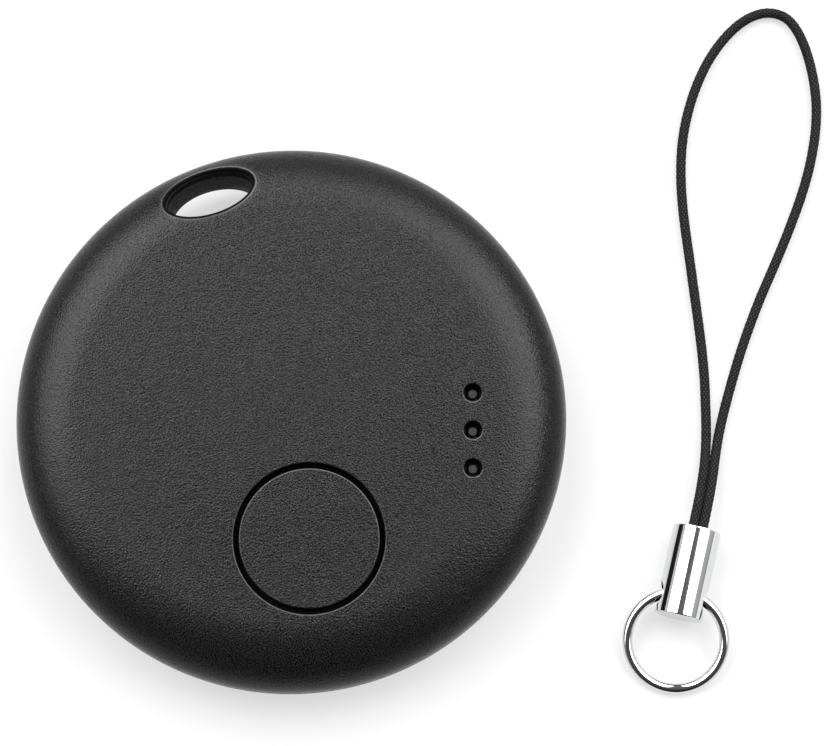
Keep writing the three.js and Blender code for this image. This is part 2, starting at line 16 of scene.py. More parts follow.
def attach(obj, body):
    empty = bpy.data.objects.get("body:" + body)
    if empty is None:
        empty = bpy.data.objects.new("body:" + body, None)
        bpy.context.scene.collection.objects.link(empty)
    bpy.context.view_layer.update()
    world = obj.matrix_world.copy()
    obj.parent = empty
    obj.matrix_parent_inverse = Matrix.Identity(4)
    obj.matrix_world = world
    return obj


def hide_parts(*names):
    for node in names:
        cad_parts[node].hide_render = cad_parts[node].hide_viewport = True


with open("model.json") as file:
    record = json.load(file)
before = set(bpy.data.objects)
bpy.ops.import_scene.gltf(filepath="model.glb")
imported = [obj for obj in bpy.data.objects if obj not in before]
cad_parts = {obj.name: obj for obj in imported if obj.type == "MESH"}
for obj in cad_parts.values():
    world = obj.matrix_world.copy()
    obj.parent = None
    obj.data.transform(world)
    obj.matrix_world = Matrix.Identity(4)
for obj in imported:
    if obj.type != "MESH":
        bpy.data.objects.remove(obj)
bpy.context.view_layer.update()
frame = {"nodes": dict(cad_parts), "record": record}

MM = 0.001

# ---------------------------------------------------------------- driving dimensions, mm

CASE_RADIUS = 21.0
FRONT_RIM_WIDTH = 5.2
REAR_RIM_WIDTH = 3.4
RIM_EXPONENT = 2.2
FRONT_CROWN = 0.25
FRONT_BASE = 4.05
FRONT_SHOULDER = 7.75
REAR_TOP = 3.95
SEAM_LIP = 0.12
ROOF_UNDERSIDE = 6.8
INNER_RADIUS = 18.3
FLOOR_TOP = 1.0
BOSS_CIRCLE = 14.2
BOSS_DEGREES = (45, 200, 320)

SLOT_CENTRE = (-6.33, 16.93)
SLOT_TURN = math.radians(17.6)
SLOT_FRONT = (3.6, 1.88)
SLOT_REAR = (3.4, 1.68)
SLOT_LAND = (5.3, 3.6)
COLLAR_WALL = 0.55
COLLAR_TOP = 5.0

BUTTON_CENTRE = (1.56, -9.72)
BUTTON_RADIUS = 5.26
WELL_RADIUS = 5.67
BUTTON_LIP = 0.12
POCKET_RADIUS = 6.7
POCKET_TOP = 7.2
# Below the roof's underside, so that a blind hole down to it opens into the cavity
BLIND_END = 6.7
FLANGE_RADIUS = 6.3
FLANGE_TOP = 7.0
FLANGE_EDGE = 0.05
PIN_RADIUS = 1.1
PIN_END = 6.62

PORT_X = 13.78
PORT_MIDDLE_Y = -1.55
PORT_PITCH = 2.86
PORT_RADIUS = 0.68
PORT_EDGE = 0.11
PORTS = [(PORT_X, PORT_MIDDLE_Y + row * PORT_PITCH) for row in (1, 0, -1)]
POST_RADIUS = 0.36
POST_TOP = 7.2

DOOR_RADIUS = 11.65
DOOR_OPENING_RADIUS = 11.8
CELL_RADIUS = 10.0

FERRULE_RADIUS = 1.85
FERRULE_HOLE = (29.82, -13.57)
FERRULE_TURN = math.radians(-13.4)
FERRULE_TIP = -1.5
FERRULE_MOUTH = 5.48
CROSS_HOLE_RADIUS = 0.95
BORE_RADIUS = 0.95
BORE_DEPTH = 2.4
RING_RADIUS = 3.7
WIRE_RADIUS = 0.4
RING_REACH = 3.25
RING_OFFSET = 0.28
CORD_RADIUS = 0.4

# The cord's route from the ferrule round the loop and back to it, and its height at the two ends.
# In between it lies on the floor.
CORD_XY = [
    (30.82, -7.87), (31.25, -6.02), (31.63, -4.22), (31.91, -2.42), (32.05, -0.5),
    (32.05, 1.5), (32.0, 3.8), (31.8, 6.4), (31.4, 10.0), (31.0, 13.4),
    (30.6, 16.9), (30.45, 20.0), (30.65, 23.0), (31.3, 25.9), (32.5, 28.9),
    (34.1, 31.3), (35.9, 32.9), (37.6, 33.45), (39.1, 33.0), (40.2, 31.4),
    (40.95, 28.9), (41.3, 26.0), (41.1, 23.1), (40.4, 19.9), (39.3, 16.7),
    (37.9, 13.3), (36.4, 9.9), (35.1, 6.5), (34.2, 3.7), (33.49, 1.2),
    (33.0, -0.8), (32.67, -2.58), (32.36, -4.34), (31.97, -6.18), (31.54, -8.04),
]
CORD_DROP = [1.85, 1.74, 1.3, 0.8, 0.5]
CORD_LOW = [CORD_RADIUS] * (len(CORD_XY) - 2 * len(CORD_DROP))
CORD_ROUTE = [(*xy, z) for xy, z in zip(CORD_XY, CORD_DROP + CORD_LOW + CORD_DROP[::-1])]

# ---------------------------------------------------------------- camera

scene = bpy.context.scene
camera_data = bpy.data.cameras.new("camera")
camera = bpy.data.objects.new("camera", camera_data)
scene.collection.objects.link(camera)
camera_data.sensor_width = 36
camera_data.lens = 121.15
camera_data.clip_start = 0.01
camera_data.clip_end = 10
camera.location = (0.00951, -0.03562, 0.2152)
camera.rotation_euler = (math.radians(10.5), 0, 0)
scene.camera = camera
scene.view_settings.view_transform = "Standard"
scene.view_settings.look = "None"

# ---------------------------------------------------------------- mesh helpers


class Builder:
    """Collects a mesh's points and faces in millimetres."""

    def __init__(self):
        self.points = []
        self.faces = []
        self.kinds = []
        self.kind = 0

    def add(self, points):
        start = len(self.points)
        self.points.extend(tuple(map(float, p)) for p in points)
        return list(range(start, len(self.points)))

    def face(self, corners):
        self.faces.append(tuple(corners))
        self.kinds.append(self.kind)

    def bridge(self, one, other):
        for i in range(len(one)):
            j = (i + 1) % len(one)
            self.face((one[i], one[j], other[j], other[i]))

    def loft(self, rings, start=None):
        """Rings of points joined one to the next. start is a ring that is already there."""
        last, made = start, []
        for ring in rings:
            made.append(self.add(ring))
            if last is not None:
                self.bridge(last, made[-1])
            last = made[-1]
        return made

    def extend(self, ring, rings):
        """Lofts on from a ring that is already there. Returns the last ring."""
        return self.loft(rings, start=ring)[-1]

    def cone(self, ring, tip):
        for i in range(len(ring)):
            self.face((ring[i], ring[(i + 1) % len(ring)], tip))

    def fan(self, ring, centre):
        self.cone(ring, self.add([centre])[0])

    def object(self, name, materials=(), weld=1e-4):
        mesh = bpy.data.meshes.new(name)
        mesh.from_pydata(self.points, [], self.faces)
        for material in materials:
            mesh.materials.append(material)
        mesh.polygons.foreach_set("material_index", self.kinds)
        work = bmesh.new()
        work.from_mesh(mesh)
        if weld:
            bmesh.ops.remove_doubles(work, verts=work.verts, dist=weld)
        bmesh.ops.recalc_face_normals(work, faces=work.faces)
        work.to_mesh(mesh)
        work.free()
        made = bpy.data.objects.new(name, mesh)
        scene.collection.objects.link(made)
        return made


def turns(count):
    return np.arange(count) * 2 * math.pi / count


def quarter(count):
    return np.linspace(0, math.pi / 2, count)


def unit(vectors):
    return vectors / np.maximum(np.linalg.norm(vectors, axis=-1, keepdims=True), 1e-12)


def circle(radius, height, count, centre=(0, 0), start=0.0):
    turn = start + turns(count)
    x = centre[0] + radius * np.cos(turn)
    y = centre[1] + radius * np.sin(turn)
    return np.column_stack([x, y, np.full(count, height)])


SLOT_COS, SLOT_SIN = math.cos(SLOT_TURN), math.sin(SLOT_TURN)


def slot_loop(semi, grow, count):
    """An ellipse on the lanyard slot's centre, as XY points."""
    along = (semi[0] + grow) * np.cos(turns(count))
    across = (semi[1] + grow) * np.sin(turns(count))
    x = SLOT_CENTRE[0] + along * SLOT_COS - across * SLOT_SIN
    y = SLOT_CENTRE[1] + along * SLOT_SIN + across * SLOT_COS
    return np.column_stack([x, y])


def slot_gap(xy, semi, grow=0.0):
    """Roughly how far XY points lie outside the slot's ellipse, in mm."""
    d = np.asarray(xy, float)[:, :2] - SLOT_CENTRE
    along = d[:, 0] * SLOT_COS + d[:, 1] * SLOT_SIN
    across = -d[:, 0] * SLOT_SIN + d[:, 1] * SLOT_COS
    a, b = semi[0] + grow, semi[1] + grow
    q = np.maximum(np.hypot(along / a, across / b), 1e-6)
    slope = np.hypot(along / a**2, across / b**2) / q
    return (q - 1) / np.maximum(slope, 1e-6)


def round_gap(xy, centre, radius):
    d = np.asarray(xy, float)[:, :2] - centre
    return np.hypot(d[:, 0], d[:, 1]) - radius


def curve(first, corner, last, shares):
    """Points on the quadratic curve from first past corner to last."""
    return [(1 - t) ** 2 * first + 2 * t * (1 - t) * corner + t**2 * last for t in shares]


def lip(outer, corner, inner, steps):
    """Rings that round an edge off, from outer past corner to inner, without the outer one."""
    return curve(outer, corner, inner, np.arange(1, steps + 1) / steps)


def edge_line(gap, width):
    """1 on a line, falling to 0 at 1.4 widths from it."""
    return np.clip(1.15 * np.exp(-((gap / width) ** 2)) - 0.15, 0, 1)


def bell(gap, width):
    return np.exp(-((gap / width) ** 2))


def at_height(xy, height):
    xy = np.asarray(xy, float)[:, :2]
    return np.column_stack([xy, np.broadcast_to(height, len(xy))])


def triangles(points, loops):
    edges = [(loop[i], loop[(i + 1) % len(loop)]) for loop in loops for i in range(len(loop))]
    made = delaunay_2d_cdt([Vector(p) for p in points], edges, [], 0, 1e-9)
    source = [origin[0] for origin in made[3]]
    return [tuple(source[v] for v in face) for face in made[2]]


class Layout:
    """Points on a surface and where they lie on a flat sheet, collected side by side."""

    def __init__(self):
        self.flat = []
        self.solid = []
        self.count = 0

    def add(self, flat, solid):
        self.flat.append(flat)
        self.solid.append(np.asarray(solid, float))
        self.count += len(flat)
        return list(range(self.count - len(flat), self.count))

    def faces(self, build, loops, inside):
        """Fills the loops with triangles, apart from those that inside says lie in a hole."""
        solid = np.vstack(self.solid)
        index = build.add(solid)
        for face in triangles(np.vstack(self.flat), loops):
            if not inside(face, solid):
                build.face([index[v] for v in face])
        return [[index[v] for v in loop] for loop in loops]


class Turned:
    """A surface of revolution given as radius and height along its profile from the centre out."""

    agreement = 0.9

    def __init__(self, profile):
        self.profile = np.asarray(profile, float)
        steps = np.hypot(*np.diff(self.profile, axis=0).T)
        start = self.profile[0][0]
        self.along = np.concatenate([[start], start + np.cumsum(steps)])

    def flat(self, xy):
        """XY points on the surface laid out flat, so that each ring keeps its distance."""
        xy = np.asarray(xy, float)[:, :2]
        radius = np.hypot(xy[:, 0], xy[:, 1])
        s = np.interp(radius, self.profile[:, 0], self.along)
        return xy * (s / np.maximum(radius, 1e-9))[:, None]

    def height(self, xy):
        xy = np.asarray(xy, float)
        return np.interp(np.hypot(xy[:, 0], xy[:, 1]), self.profile[:, 0], self.profile[:, 1])

    def raised(self, xy):
        return at_height(xy, self.height(xy))

    def lip(self, outer, wall, drop, steps):
        """Rings that round the edge of an opening off, from the surface down onto its wall."""
        corner = self.raised(wall)
        return lip(self.raised(outer), corner, corner - (0, 0, drop), steps)

    def normals(self, points, sign):
        """The profile's normal at each point, and whether the point lies on the profile."""
        radius = np.hypot(points[:, 0], points[:, 1])
        flat = np.column_stack([radius, points[:, 2]])
        a, b = self.profile[:-1], self.profile[1:]
        step = b - a
        length = np.maximum((step**2).sum(1), 1e-18)
        t = np.clip(((flat[:, None] - a) * step).sum(2) / length, 0, 1)
        gap = np.linalg.norm(flat[:, None] - (a + t[..., None] * step), axis=2)
        nearest = gap.argmin(1)
        rows = np.arange(len(points))
        direction = unit(np.gradient(self.profile, axis=0))
        share = t[rows, nearest][:, None]
        along = direction[nearest] * (1 - share) + direction[nearest + 1] * share
        out, up = -along[:, 1] * sign, along[:, 0] * sign
        scale = out / np.maximum(radius, 1e-9)
        normal = np.column_stack([points[:, 0] * scale, points[:, 1] * scale, up])
        return unit(normal), gap[rows, nearest] < 3e-3


class Barrel:
    """The ferrule's round side, about the Y axis."""

    agreement = 0.97

    @staticmethod
    def normals(points, sign):
        radius = np.hypot(points[:, 0], points[:, 2])
        return unit(points * (sign, 0, sign)), radius > FERRULE_RADIUS - 1e-3


def skin(build, surface, spacing, rim_rings, rim_count, holes, inner=None):
    """A skin over a surface of revolution with holes. Returns its outer edge and the holes' rings.

    holes are (XY loop, gap function, distance to keep clear). inner is the number of points round
    an opening at the centre, if there is one.
    """
    last = len(surface.profile) - 1
    layout = Layout()
    low, high = surface.along[0], surface.along[last - rim_rings]
    if inner is None:
        layout.add(np.zeros((1, 2)), [[0, 0, surface.profile[0][1]]])
    rings = max(2, round((high - low) / spacing))
    for k in range(1, rings):
        s = low + (high - low) * k / rings
        radius, height = (np.interp(s, surface.along, column) for column in surface.profile.T)
        count = max(6, round(2 * math.pi * radius / spacing))
        ring = circle(radius, height, count, start=(k % 2) * math.pi / count)
        keep = np.ones(len(ring), bool)
        for _, gap, clear in holes:
            keep &= gap(ring) > clear
        if inner is not None:
            keep &= round_gap(ring, (0, 0), surface.profile[0][0] + spacing * 0.4) > 0
        layout.add(ring[keep][:, :2] * (s / radius), ring[keep])
    for k in range(last - rim_rings, last + 1):
        flat = circle(surface.along[k], 0, rim_count)[:, :2]
        edge = layout.add(flat, circle(*surface.profile[k], rim_count))
    loops = [edge]
    opening = set()
    if inner is not None:
        flat = circle(surface.along[0], 0, inner)[:, :2]
        loops.append(layout.add(flat, circle(*surface.profile[0], inner)))
        opening = set(loops[-1])
    loops += [layout.add(surface.flat(loop), surface.raised(loop)) for loop, _, _ in holes]

    def inside(face, solid):
        middle = solid[list(face)].mean(0)[None]
        return opening.issuperset(face) or any(gap(middle)[0] < 0 for _, gap, _ in holes)

    edge, *rings = layout.faces(build, loops, inside)
    return edge, rings


def flat_face(build, outer, holes):
    """A flat face between rings that are already there, at one height."""
    rings = [outer, *holes]
    index = [v for ring in rings for v in ring]
    owner = [k for k, ring in enumerate(rings) for _ in ring]
    loops = [[i for i, k in enumerate(owner) if k == ring] for ring in range(len(rings))]
    for face in triangles([build.points[v][:2] for v in index], loops):
        owners = {owner[v] for v in face}
        if len(owners) > 1 or owners == {0}:
            build.face([index[v] for v in face])


def boolean(target, cutter):
    step = target.modifiers.new("cut", "BOOLEAN")
    step.operation = "DIFFERENCE"
    step.solver = "MANIFOLD"
    step.object = cutter
    graph = bpy.context.evaluated_depsgraph_get()
    made = bpy.data.meshes.new_from_object(target.evaluated_get(graph))
    target.modifiers.clear()
    target.data = made
    bpy.data.objects.remove(cutter)


def lathe(name, profile, count=128, centre=(0, 0), materials=()):
    """A closed solid of revolution from radius and height pairs. A radius of 0 closes it."""
    build = Builder()
    rings = []
    for radius, height in profile:
        on_axis = radius < 1e-6
        ring = [(*centre, height)] if on_axis else circle(radius, height, count, centre)
        rings.append(build.add(ring))
    pairs = list(zip(rings, rings[1:]))
    if max(profile[0][0], profile[-1][0]) > 1e-6:
        pairs.append((rings[-1], rings[0]))
    for one, other in pairs:
        tip, ring = sorted((one, other), key=len)
        if len(tip) > 1:
            build.bridge(one, other)
        elif len(ring) > 1:
            build.cone(ring, tip[0])
    return build.object(name, materials)


def band(inner, outer, low, high):
    """The profile of a plain ring."""
    return [(inner, low), (outer, low), (outer, high), (inner, high)]


def rounded(profile, radius, steps=4, closed=False):
    """The profile with its corners rounded off."""
    profile = [np.asarray(p, float) for p in profile]
    count = len(profile)
    out = []
    for i, corner in enumerate(profile):
        if not closed and i in (0, count - 1):
            out.append(corner)
            continue
        back, on = profile[i - 1] - corner, profile[(i + 1) % count] - corner
        reach = min(radius, 0.45 * np.linalg.norm(back), 0.45 * np.linalg.norm(on))
        first, last = corner + unit(back) * reach, corner + unit(on) * reach
        out += curve(first, corner, last, np.linspace(0, 1, steps + 1))
    return [tuple(p) for p in out]


def prism(loop, bottom, top):
    build = Builder()
    low = build.add(at_height(loop, bottom))
    high = build.add(at_height(loop, top))
    build.bridge(low, high)
    middle = np.asarray(loop, float)[:, :2].mean(0)
    build.fan(low, (*middle, bottom))
    build.fan(high, (*middle, top))
    return build.object("sleeve")


def box_mesh(build, low, high, edge):
    """A box with rounded edges, added to a builder."""
    work = bmesh.new()
    bmesh.ops.create_cube(work, size=1)
    low, high = Vector(low), Vector(high)
    for v in work.verts:
        v.co = Vector((low[i] + high[i]) / 2 + v.co[i] * (high[i] - low[i]) for i in range(3))
    bmesh.ops.bevel(
        work, geom=list(work.edges), offset=edge, segments=2, profile=0.5, affect="EDGES"
    )
    work.verts.index_update()
    index = build.add([v.co for v in work.verts])
    for face in work.faces:
        build.face([index[v.index] for v in face.verts])
    work.free()


def read(items, key, width=3):
    """One property of all the items of a mesh, in rows of width."""
    values = np.zeros(len(items) * width, np.int32 if width == 1 else np.float32)
    items.foreach_get(key, values)
    return values if width == 1 else values.reshape(-1, width).astype(float)


def mark(mesh, name, values, kind="FLOAT", key="value"):
    layer = mesh.attributes.new(name, kind, "POINT")
    layer.data.foreach_set(key, np.asarray(values, np.float32).ravel())


def settle(piece, body, slot, replaces, surface=None, sign=1, wear=None, angle=40, place=None):
    """Scales a piece to metres, smooths it, marks its rubbed edges and its painted edge highlights
    and puts it on its body.

    surface gives the normals of the points that lie on it. place moves the piece, in mm.
    """
    mesh = piece.data
    points = read(mesh.vertices, "co")
    if wear is not None:
        mark(mesh, "wear", np.clip(wear(points), 0, 1))
    mesh.polygons.foreach_set("use_smooth", np.ones(len(mesh.polygons), bool))
    mesh.set_sharp_from_angle(angle=math.radians(angle))
    if surface is not None:
        normal, near = surface.normals(points, sign)
        corners = read(mesh.corner_normals, "vector")
        owner = read(mesh.loops, "vertex_index", 1)
        sides = read(mesh.polygons, "loop_total", 1)
        facing = np.repeat(read(mesh.polygons, "normal"), sides, axis=0)
        fits = near[owner] & ((normal[owner] * facing).sum(1) > surface.agreement)
        corners[fits] = normal[owner][fits]
        mesh.normals_split_custom_set([tuple(n) for n in corners])
    mesh.transform(Matrix.Scale(MM, 4) @ (place or Matrix.Identity(4)))
    mesh.update()
    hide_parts(*replaces)
    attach(piece, body)
    return piece


# ---------------------------------------------------------------- materials


def tint(colour, factor):
    return tuple(min(c * factor, 1.0) for c in colour)


class Nodes:
    """A node tree and short ways to add to it."""

    def __init__(self, tree):
        self.tree = tree

    def feed(self, node, inputs):
        """Links a node's inputs to other sockets, or sets them to numbers, vectors or colours."""
        for key, value in inputs.items():
            if isinstance(value, bpy.types.NodeSocket):
                self.tree.links.new(value, node.inputs[key])
            else:
                node.inputs[key].default_value = value

    def add(self, kind, inputs=(), out=0, **settings):
        """One output of a new node. inputs is a sequence from the first one on, or a dictionary."""
        node = self.tree.nodes.new("ShaderNode" + kind)
        for key, value in settings.items():
            setattr(node, key, value)
        self.feed(node, inputs if isinstance(inputs, dict) else dict(enumerate(inputs)))
        return node.outputs[out]

    def split(self, vector):
        return [self.add("SeparateXYZ", [vector], k) for k in range(3)]

    def maths(self, operation, *values):
        return self.add("Math", values, operation=operation)

    def vector(self, operation, *values, out=0):
        return self.add("VectorMath", values, out, operation=operation)

    def ramp(self, source, low, high, out_low=0.0, out_high=1.0, **settings):
        return self.add("MapRange", (source, low, high, out_low, out_high), **settings)


class Finish(Nodes):
    """A procedural material in shades of one colour."""

    def __init__(self, name, colour, metallic=0.0, gloss=0.5):
        self.material = bpy.data.materials.new(name)
        self.material.use_nodes = True
        super().__init__(self.material.node_tree)
        self.colour = colour
        self.shader = self.tree.nodes["Principled BSDF"]
        self.feed(self.shader, {"Metallic": metallic, "Specular IOR Level": gloss})
        self.place = self.add("TexCoord", out="Object")

    def noise(self, size_mm, detail=2.0, rough=0.5, stretch=None, place=None, distort=0.0):
        place = place or self.place
        if stretch:
            place = self.add("Mapping", {"Vector": place, "Scale": stretch})
        inputs = {"Vector": place, "Scale": 1 / (size_mm * MM), "Detail": detail}
        inputs |= {"Roughness": rough, "Distortion": distort}
        return self.add("TexNoise", inputs, "Fac")

    def specks(self, size_mm, apart_mm):
        """Noise less the mean of its four neighbours, which leaves only its finest detail."""
        around = 0.0
        for x, y in ((1, 0), (-1, 0), (0, 1), (0, -1)):
            moved = self.vector("ADD", self.place, (x * apart_mm * MM, y * apart_mm * MM, 0))
            around = self.maths("ADD", around, self.noise(size_mm, 0.0, place=moved))
        around = self.maths("MULTIPLY", around, 0.25)
        return self.maths("SUBTRACT", self.noise(size_mm, 0.0), around)

    def cells(self, size_mm, randomness=1.0, **settings):
        inputs = {"Vector": self.place, "Scale": 1 / (size_mm * MM), "Randomness": randomness}
        return self.add("TexVoronoi", inputs, "Distance", **settings)

    def attribute(self, name, out="Fac"):
        return self.add("Attribute", out=out, attribute_name=name)

    def mix(self, factor, one, other):
        one, other = ((*c, 1) if isinstance(c, tuple) else c for c in (one, other))
        return self.add("Mix", {0: factor, 6: one, 7: other}, 2, data_type="RGBA")

    def shade(self, source, low, high, dark, light):
        """From a dark to a light tint of the colour as source goes from low to high."""
        ends = tint(self.colour, dark), tint(self.colour, light)
        return self.mix(self.ramp(source, low, high), *ends)

    def over(self, share, shade, factor):
        """The shade with a share of another tint of the colour laid over it."""
        return self.mix(share, shade, tint(self.colour, factor))

    def done(self, colour, rough, height=None, depth_mm=0.0):
        """Feeds the shader, with height as bumps of that depth."""
        self.feed(self.shader, {"Base Color": colour, "Roughness": rough})
        if height is not None:
            inputs = {"Strength": 1.0, "Distance": depth_mm * MM, "Height": height}
            self.feed(self.shader, {"Normal": self.add("Bump", inputs)})
        return self.material


GRAIN = 0.125
BLACK_GLOSS = 0.15


def grained_plastic(name, colour, roughness=0.17, gloss=BLACK_GLOSS):
    """Moulded plastic with a spark-eroded grain, cloudy shade, and polished edges painted paler as
    a highlight.
    """
    f = Finish(name, colour, gloss=gloss)
    grain = f.noise(GRAIN, 0.0, distort=0.4)
    fine = f.noise(GRAIN * 0.45, 1.0)
    cloud = f.noise(9.0, 3.0, 0.55)
    shade = f.shade(f.specks(GRAIN * 0.95, 0.085), -0.13, 0.13, 0.0, 1.7)
    shade = f.over(f.ramp(cloud, 0.35, 0.65, 0.0, 0.2), shade, 0.8)
    worn_and_lit = f.attribute("wear")
    # Edges marked as rubbed and lit are painted much paler: polish from rubbing, and a painted
    # highlight
    shade = f.over(f.maths("MULTIPLY", worn_and_lit, f.ramp(fine, 0.3, 0.6, 0.6, 1.0)), shade, 15.0)
    rough = f.noise(GRAIN * 0.7, 0.0)
    rough = f.ramp(rough, 0.35, 0.65, roughness - 0.1, roughness + 0.12)
    rough = f.maths("SUBTRACT", rough, f.maths("MULTIPLY", worn_and_lit, 0.12))
    return f.done(shade, rough, f.maths("ADD", grain, f.maths("MULTIPLY", fine, 0.2)), 0.034)


def smooth_plastic(name, colour, roughness=0.4):
    """A satin moulding with faint flow marks."""
    f = Finish(name, colour, gloss=BLACK_GLOSS)
    flow = f.noise(1.6, 3.0, 0.6, stretch=(1.0, 0.35, 1.0))
    speck = f.noise(0.12, 1.0)
    # Edges marked as rubbed and lit are painted paler, as a painted highlight
    shade = f.over(f.attribute("wear"), f.shade(flow, 0.3, 0.7, 0.8, 1.25), 1.8)
    rough = f.ramp(speck, 0.3, 0.7, roughness - 0.06, roughness + 0.08)
    return f.done(shade, rough, f.maths("ADD", flow, speck), 0.004)


def rubber(name, colour, roughness=0.7):
    f = Finish(name, colour)
    dust = f.noise(0.35, 3.0, 0.6)
    rough = f.ramp(f.noise(0.8), 0.3, 0.7, roughness - 0.06, roughness + 0.1)
    return f.done(f.shade(dust, 0.35, 0.75, 0.8, 1.45), rough, dust, 0.006)


def foam(name, colour):
    f = Finish(name, colour)
    pores = f.cells(0.14)
    rough = f.ramp(pores, 0.1, 0.6, 0.95, 0.8)
    return f.done(f.shade(pores, 0.1, 0.6, 0.45, 1.6), rough, pores, 0.03)


def woven_mesh(name, colour):
    """A fine square weave."""
    f = Finish(name, colour)
    pitch = 2 * math.pi / (0.09 * MM)
    waves = [f.maths("SINE", f.maths("MULTIPLY", way, pitch)) for way in f.split(f.place)[:2]]
    weave = f.maths("MULTIPLY", *waves)
    rough = f.ramp(weave, -1, 1, 0.8, 0.5)
    return f.done(f.shade(weave, -0.6, 0.6, 0.3, 1.8), rough, weave, 0.01)


def metal(name, colour, roughness=0.25, stretch=(1.0, 1.0, 1.0), marks=0.08, depth_mm=0.0006):
    """Plated or rolled metal with fine marks and a slightly cloudy finish."""
    f = Finish(name, colour, 1.0)
    lines = f.noise(0.1, 4.0, 0.65, stretch=stretch)
    cloud = f.noise(1.9, 3.0, 0.6)
    shade = f.shade(cloud, 0.3, 0.7, 0.93, 1.05)
    shade = f.over(f.ramp(lines, 0.45, 0.75, 0.0, 0.5), shade, 0.86)
    # Edges marked as rubbed and lit are painted a little paler: polish from rubbing, and a painted
    # highlight
    shade = f.over(f.attribute("wear"), shade, 1.12)
    # Painted shade: marked hollows are painted nearly black
    shade = f.over(f.attribute("painted_bore_shade"), shade, 0.12)
    rough = f.maths("ADD", lines, cloud)
    rough = f.ramp(rough, 0.6, 1.4, roughness - marks * 0.5, roughness + marks)
    return f.done(shade, rough, lines, depth_mm)


def turned_metal(name, colour, centre, roughness):
    """Metal with fine rings about an upright axis."""
    f = Finish(name, colour, 1.0)
    flat = f.vector("SUBTRACT", f.place, (centre[0] * MM, centre[1] * MM, 0))
    reach = f.vector("LENGTH", f.vector("MULTIPLY", flat, (1, 1, 0)), out="Value")
    rings = f.noise(0.05, 3.0, 0.7, place=f.add("CombineXYZ", [reach]))
    cloud = f.noise(2.4, 3.0, 0.6)
    shade = f.shade(cloud, 0.3, 0.7, 0.9, 1.06)
    shade = f.over(f.ramp(rings, 0.45, 0.8, 0.0, 0.4), shade, 0.8)
    rough = f.ramp(f.maths("ADD", rings, cloud), 0.6, 1.4, roughness - 0.05, roughness + 0.1)
    return f.done(shade, rough, rings, 0.0012)


def ceramic(name, colour, roughness=0.45):
    f = Finish(name, colour)
    speck = f.noise(0.18, 3.0, 0.65)
    rough = f.ramp(speck, 0.3, 0.7, roughness - 0.06, roughness + 0.1)
    return f.done(f.shade(speck, 0.35, 0.7, 0.88, 1.06), rough, speck, 0.004)


def laminate(name, colour):
    """Solder mask over copper tracks."""
    f = Finish(name, colour)
    tracks = f.cells(1.7, 0.55, feature="DISTANCE_TO_EDGE", distance="CHEBYCHEV")
    line = f.ramp(tracks, 0.03, 0.07, 1.0, 0.0)
    weave = f.noise(0.3, 2.0)
    shade = f.over(f.maths("MULTIPLY", line, 0.8), f.shade(weave, 0.3, 0.7, 0.8, 1.2), 2.1)
    return f.done(shade, f.ramp(weave, 0.3, 0.7, 0.34, 0.48), line, 0.02)


def braid(name, colour):
    """Black nylon yarn: filaments run along each strand, and painted shade darkens the strands
    where they pass under others and on their inner sides.
    """
    f = Finish(name, colour, gloss=BLACK_GLOSS)
    fibre = f.noise(1 / MM, 3.0, 0.6, place=f.attribute("strand", "Vector"))
    # Painted shade: low shares of painted light darken the strand towards a tenth of its colour,
    # and the high ones are also glossier
    painted_light_share = f.ramp(f.attribute("painted_light_share"), 0.4, 0.95)
    shade = f.shade(fibre, 0.3, 0.7, 0.2, 1.7)
    shade = f.over(f.ramp(f.noise(3.0, 2.0), 0.3, 0.7, 0.0, 0.4), shade, 0.7)
    shade = f.mix(painted_light_share, tint(colour, 0.1), shade)
    rough = f.ramp(f.maths("MULTIPLY", fibre, painted_light_share), 0.1, 0.6, 0.8, 0.25)
    return f.done(shade, rough, fibre, 0.012)


RECORD_COLOUR = {m["slot"]: tuple(m["base_color"]) for m in frame["record"]["materials"]}


def dress(make, slot, *settings, name=None, factor=1.0):
    """The finish that make gives in a tint of the record's colour for the slot."""
    return make(name or slot, tint(RECORD_COLOUR[slot], factor), *settings)


case_plastic = dress(grained_plastic, "case_plastic")
# Walls inside the front's openings: the case's plastic painted half as dark as shade, rougher and
# less glossy
shaded_recess_plastic = dress(grained_plastic, "case_plastic", 0.75, 0.02, name="case_recess", factor=0.5)
bore_plastic = dress(grained_plastic, "case_plastic", 0.6, 0.05, name="case_bore")
door_plastic = dress(grained_plastic, "door_plastic", 0.34)
inner_plastic = dress(smooth_plastic, "inner_plastic")
insert_plastic = dress(smooth_plastic, "insert_plastic", 0.45, factor=0.3)
switch_plastic = dress(smooth_plastic, "switch_plastic", 0.38)
chip_package = dress(smooth_plastic, "chip_package", 0.5)
silicone = dress(rubber, "silicone")
cell_core = dress(rubber, "cell_core", 0.8)
foam_tape = dress(foam, "foam")
acoustic_mesh = dress(woven_mesh, "acoustic_mesh")
board_laminate = dress(laminate, "board_laminate")
antenna_ceramic = dress(ceramic, "antenna_ceramic")
capacitor_ceramic = dress(ceramic, "capacitor_ceramic")
plated_steel = dress(metal, "plated_steel", 0.25, (0.2, 1.0, 1.0))
screw_steel = dress(metal, "screw_steel", 0.34)
gold_plate = metal("gold_plate", (0.72, 0.5, 0.2))
piezo_brass = dress(turned_metal, "piezo_brass", (3.5, 4.5), 0.25)
cell_steel = dress(turned_metal, "cell_steel", (0, 0), 0.24)
cord_nylon = dress(braid, "cord_nylon")
chrome = dress(metal, "chrome", 0.05, (1.0, 1.0, 1.0), 0.03, 0.00005, factor=0.84)

# ---------------------------------------------------------------- strap


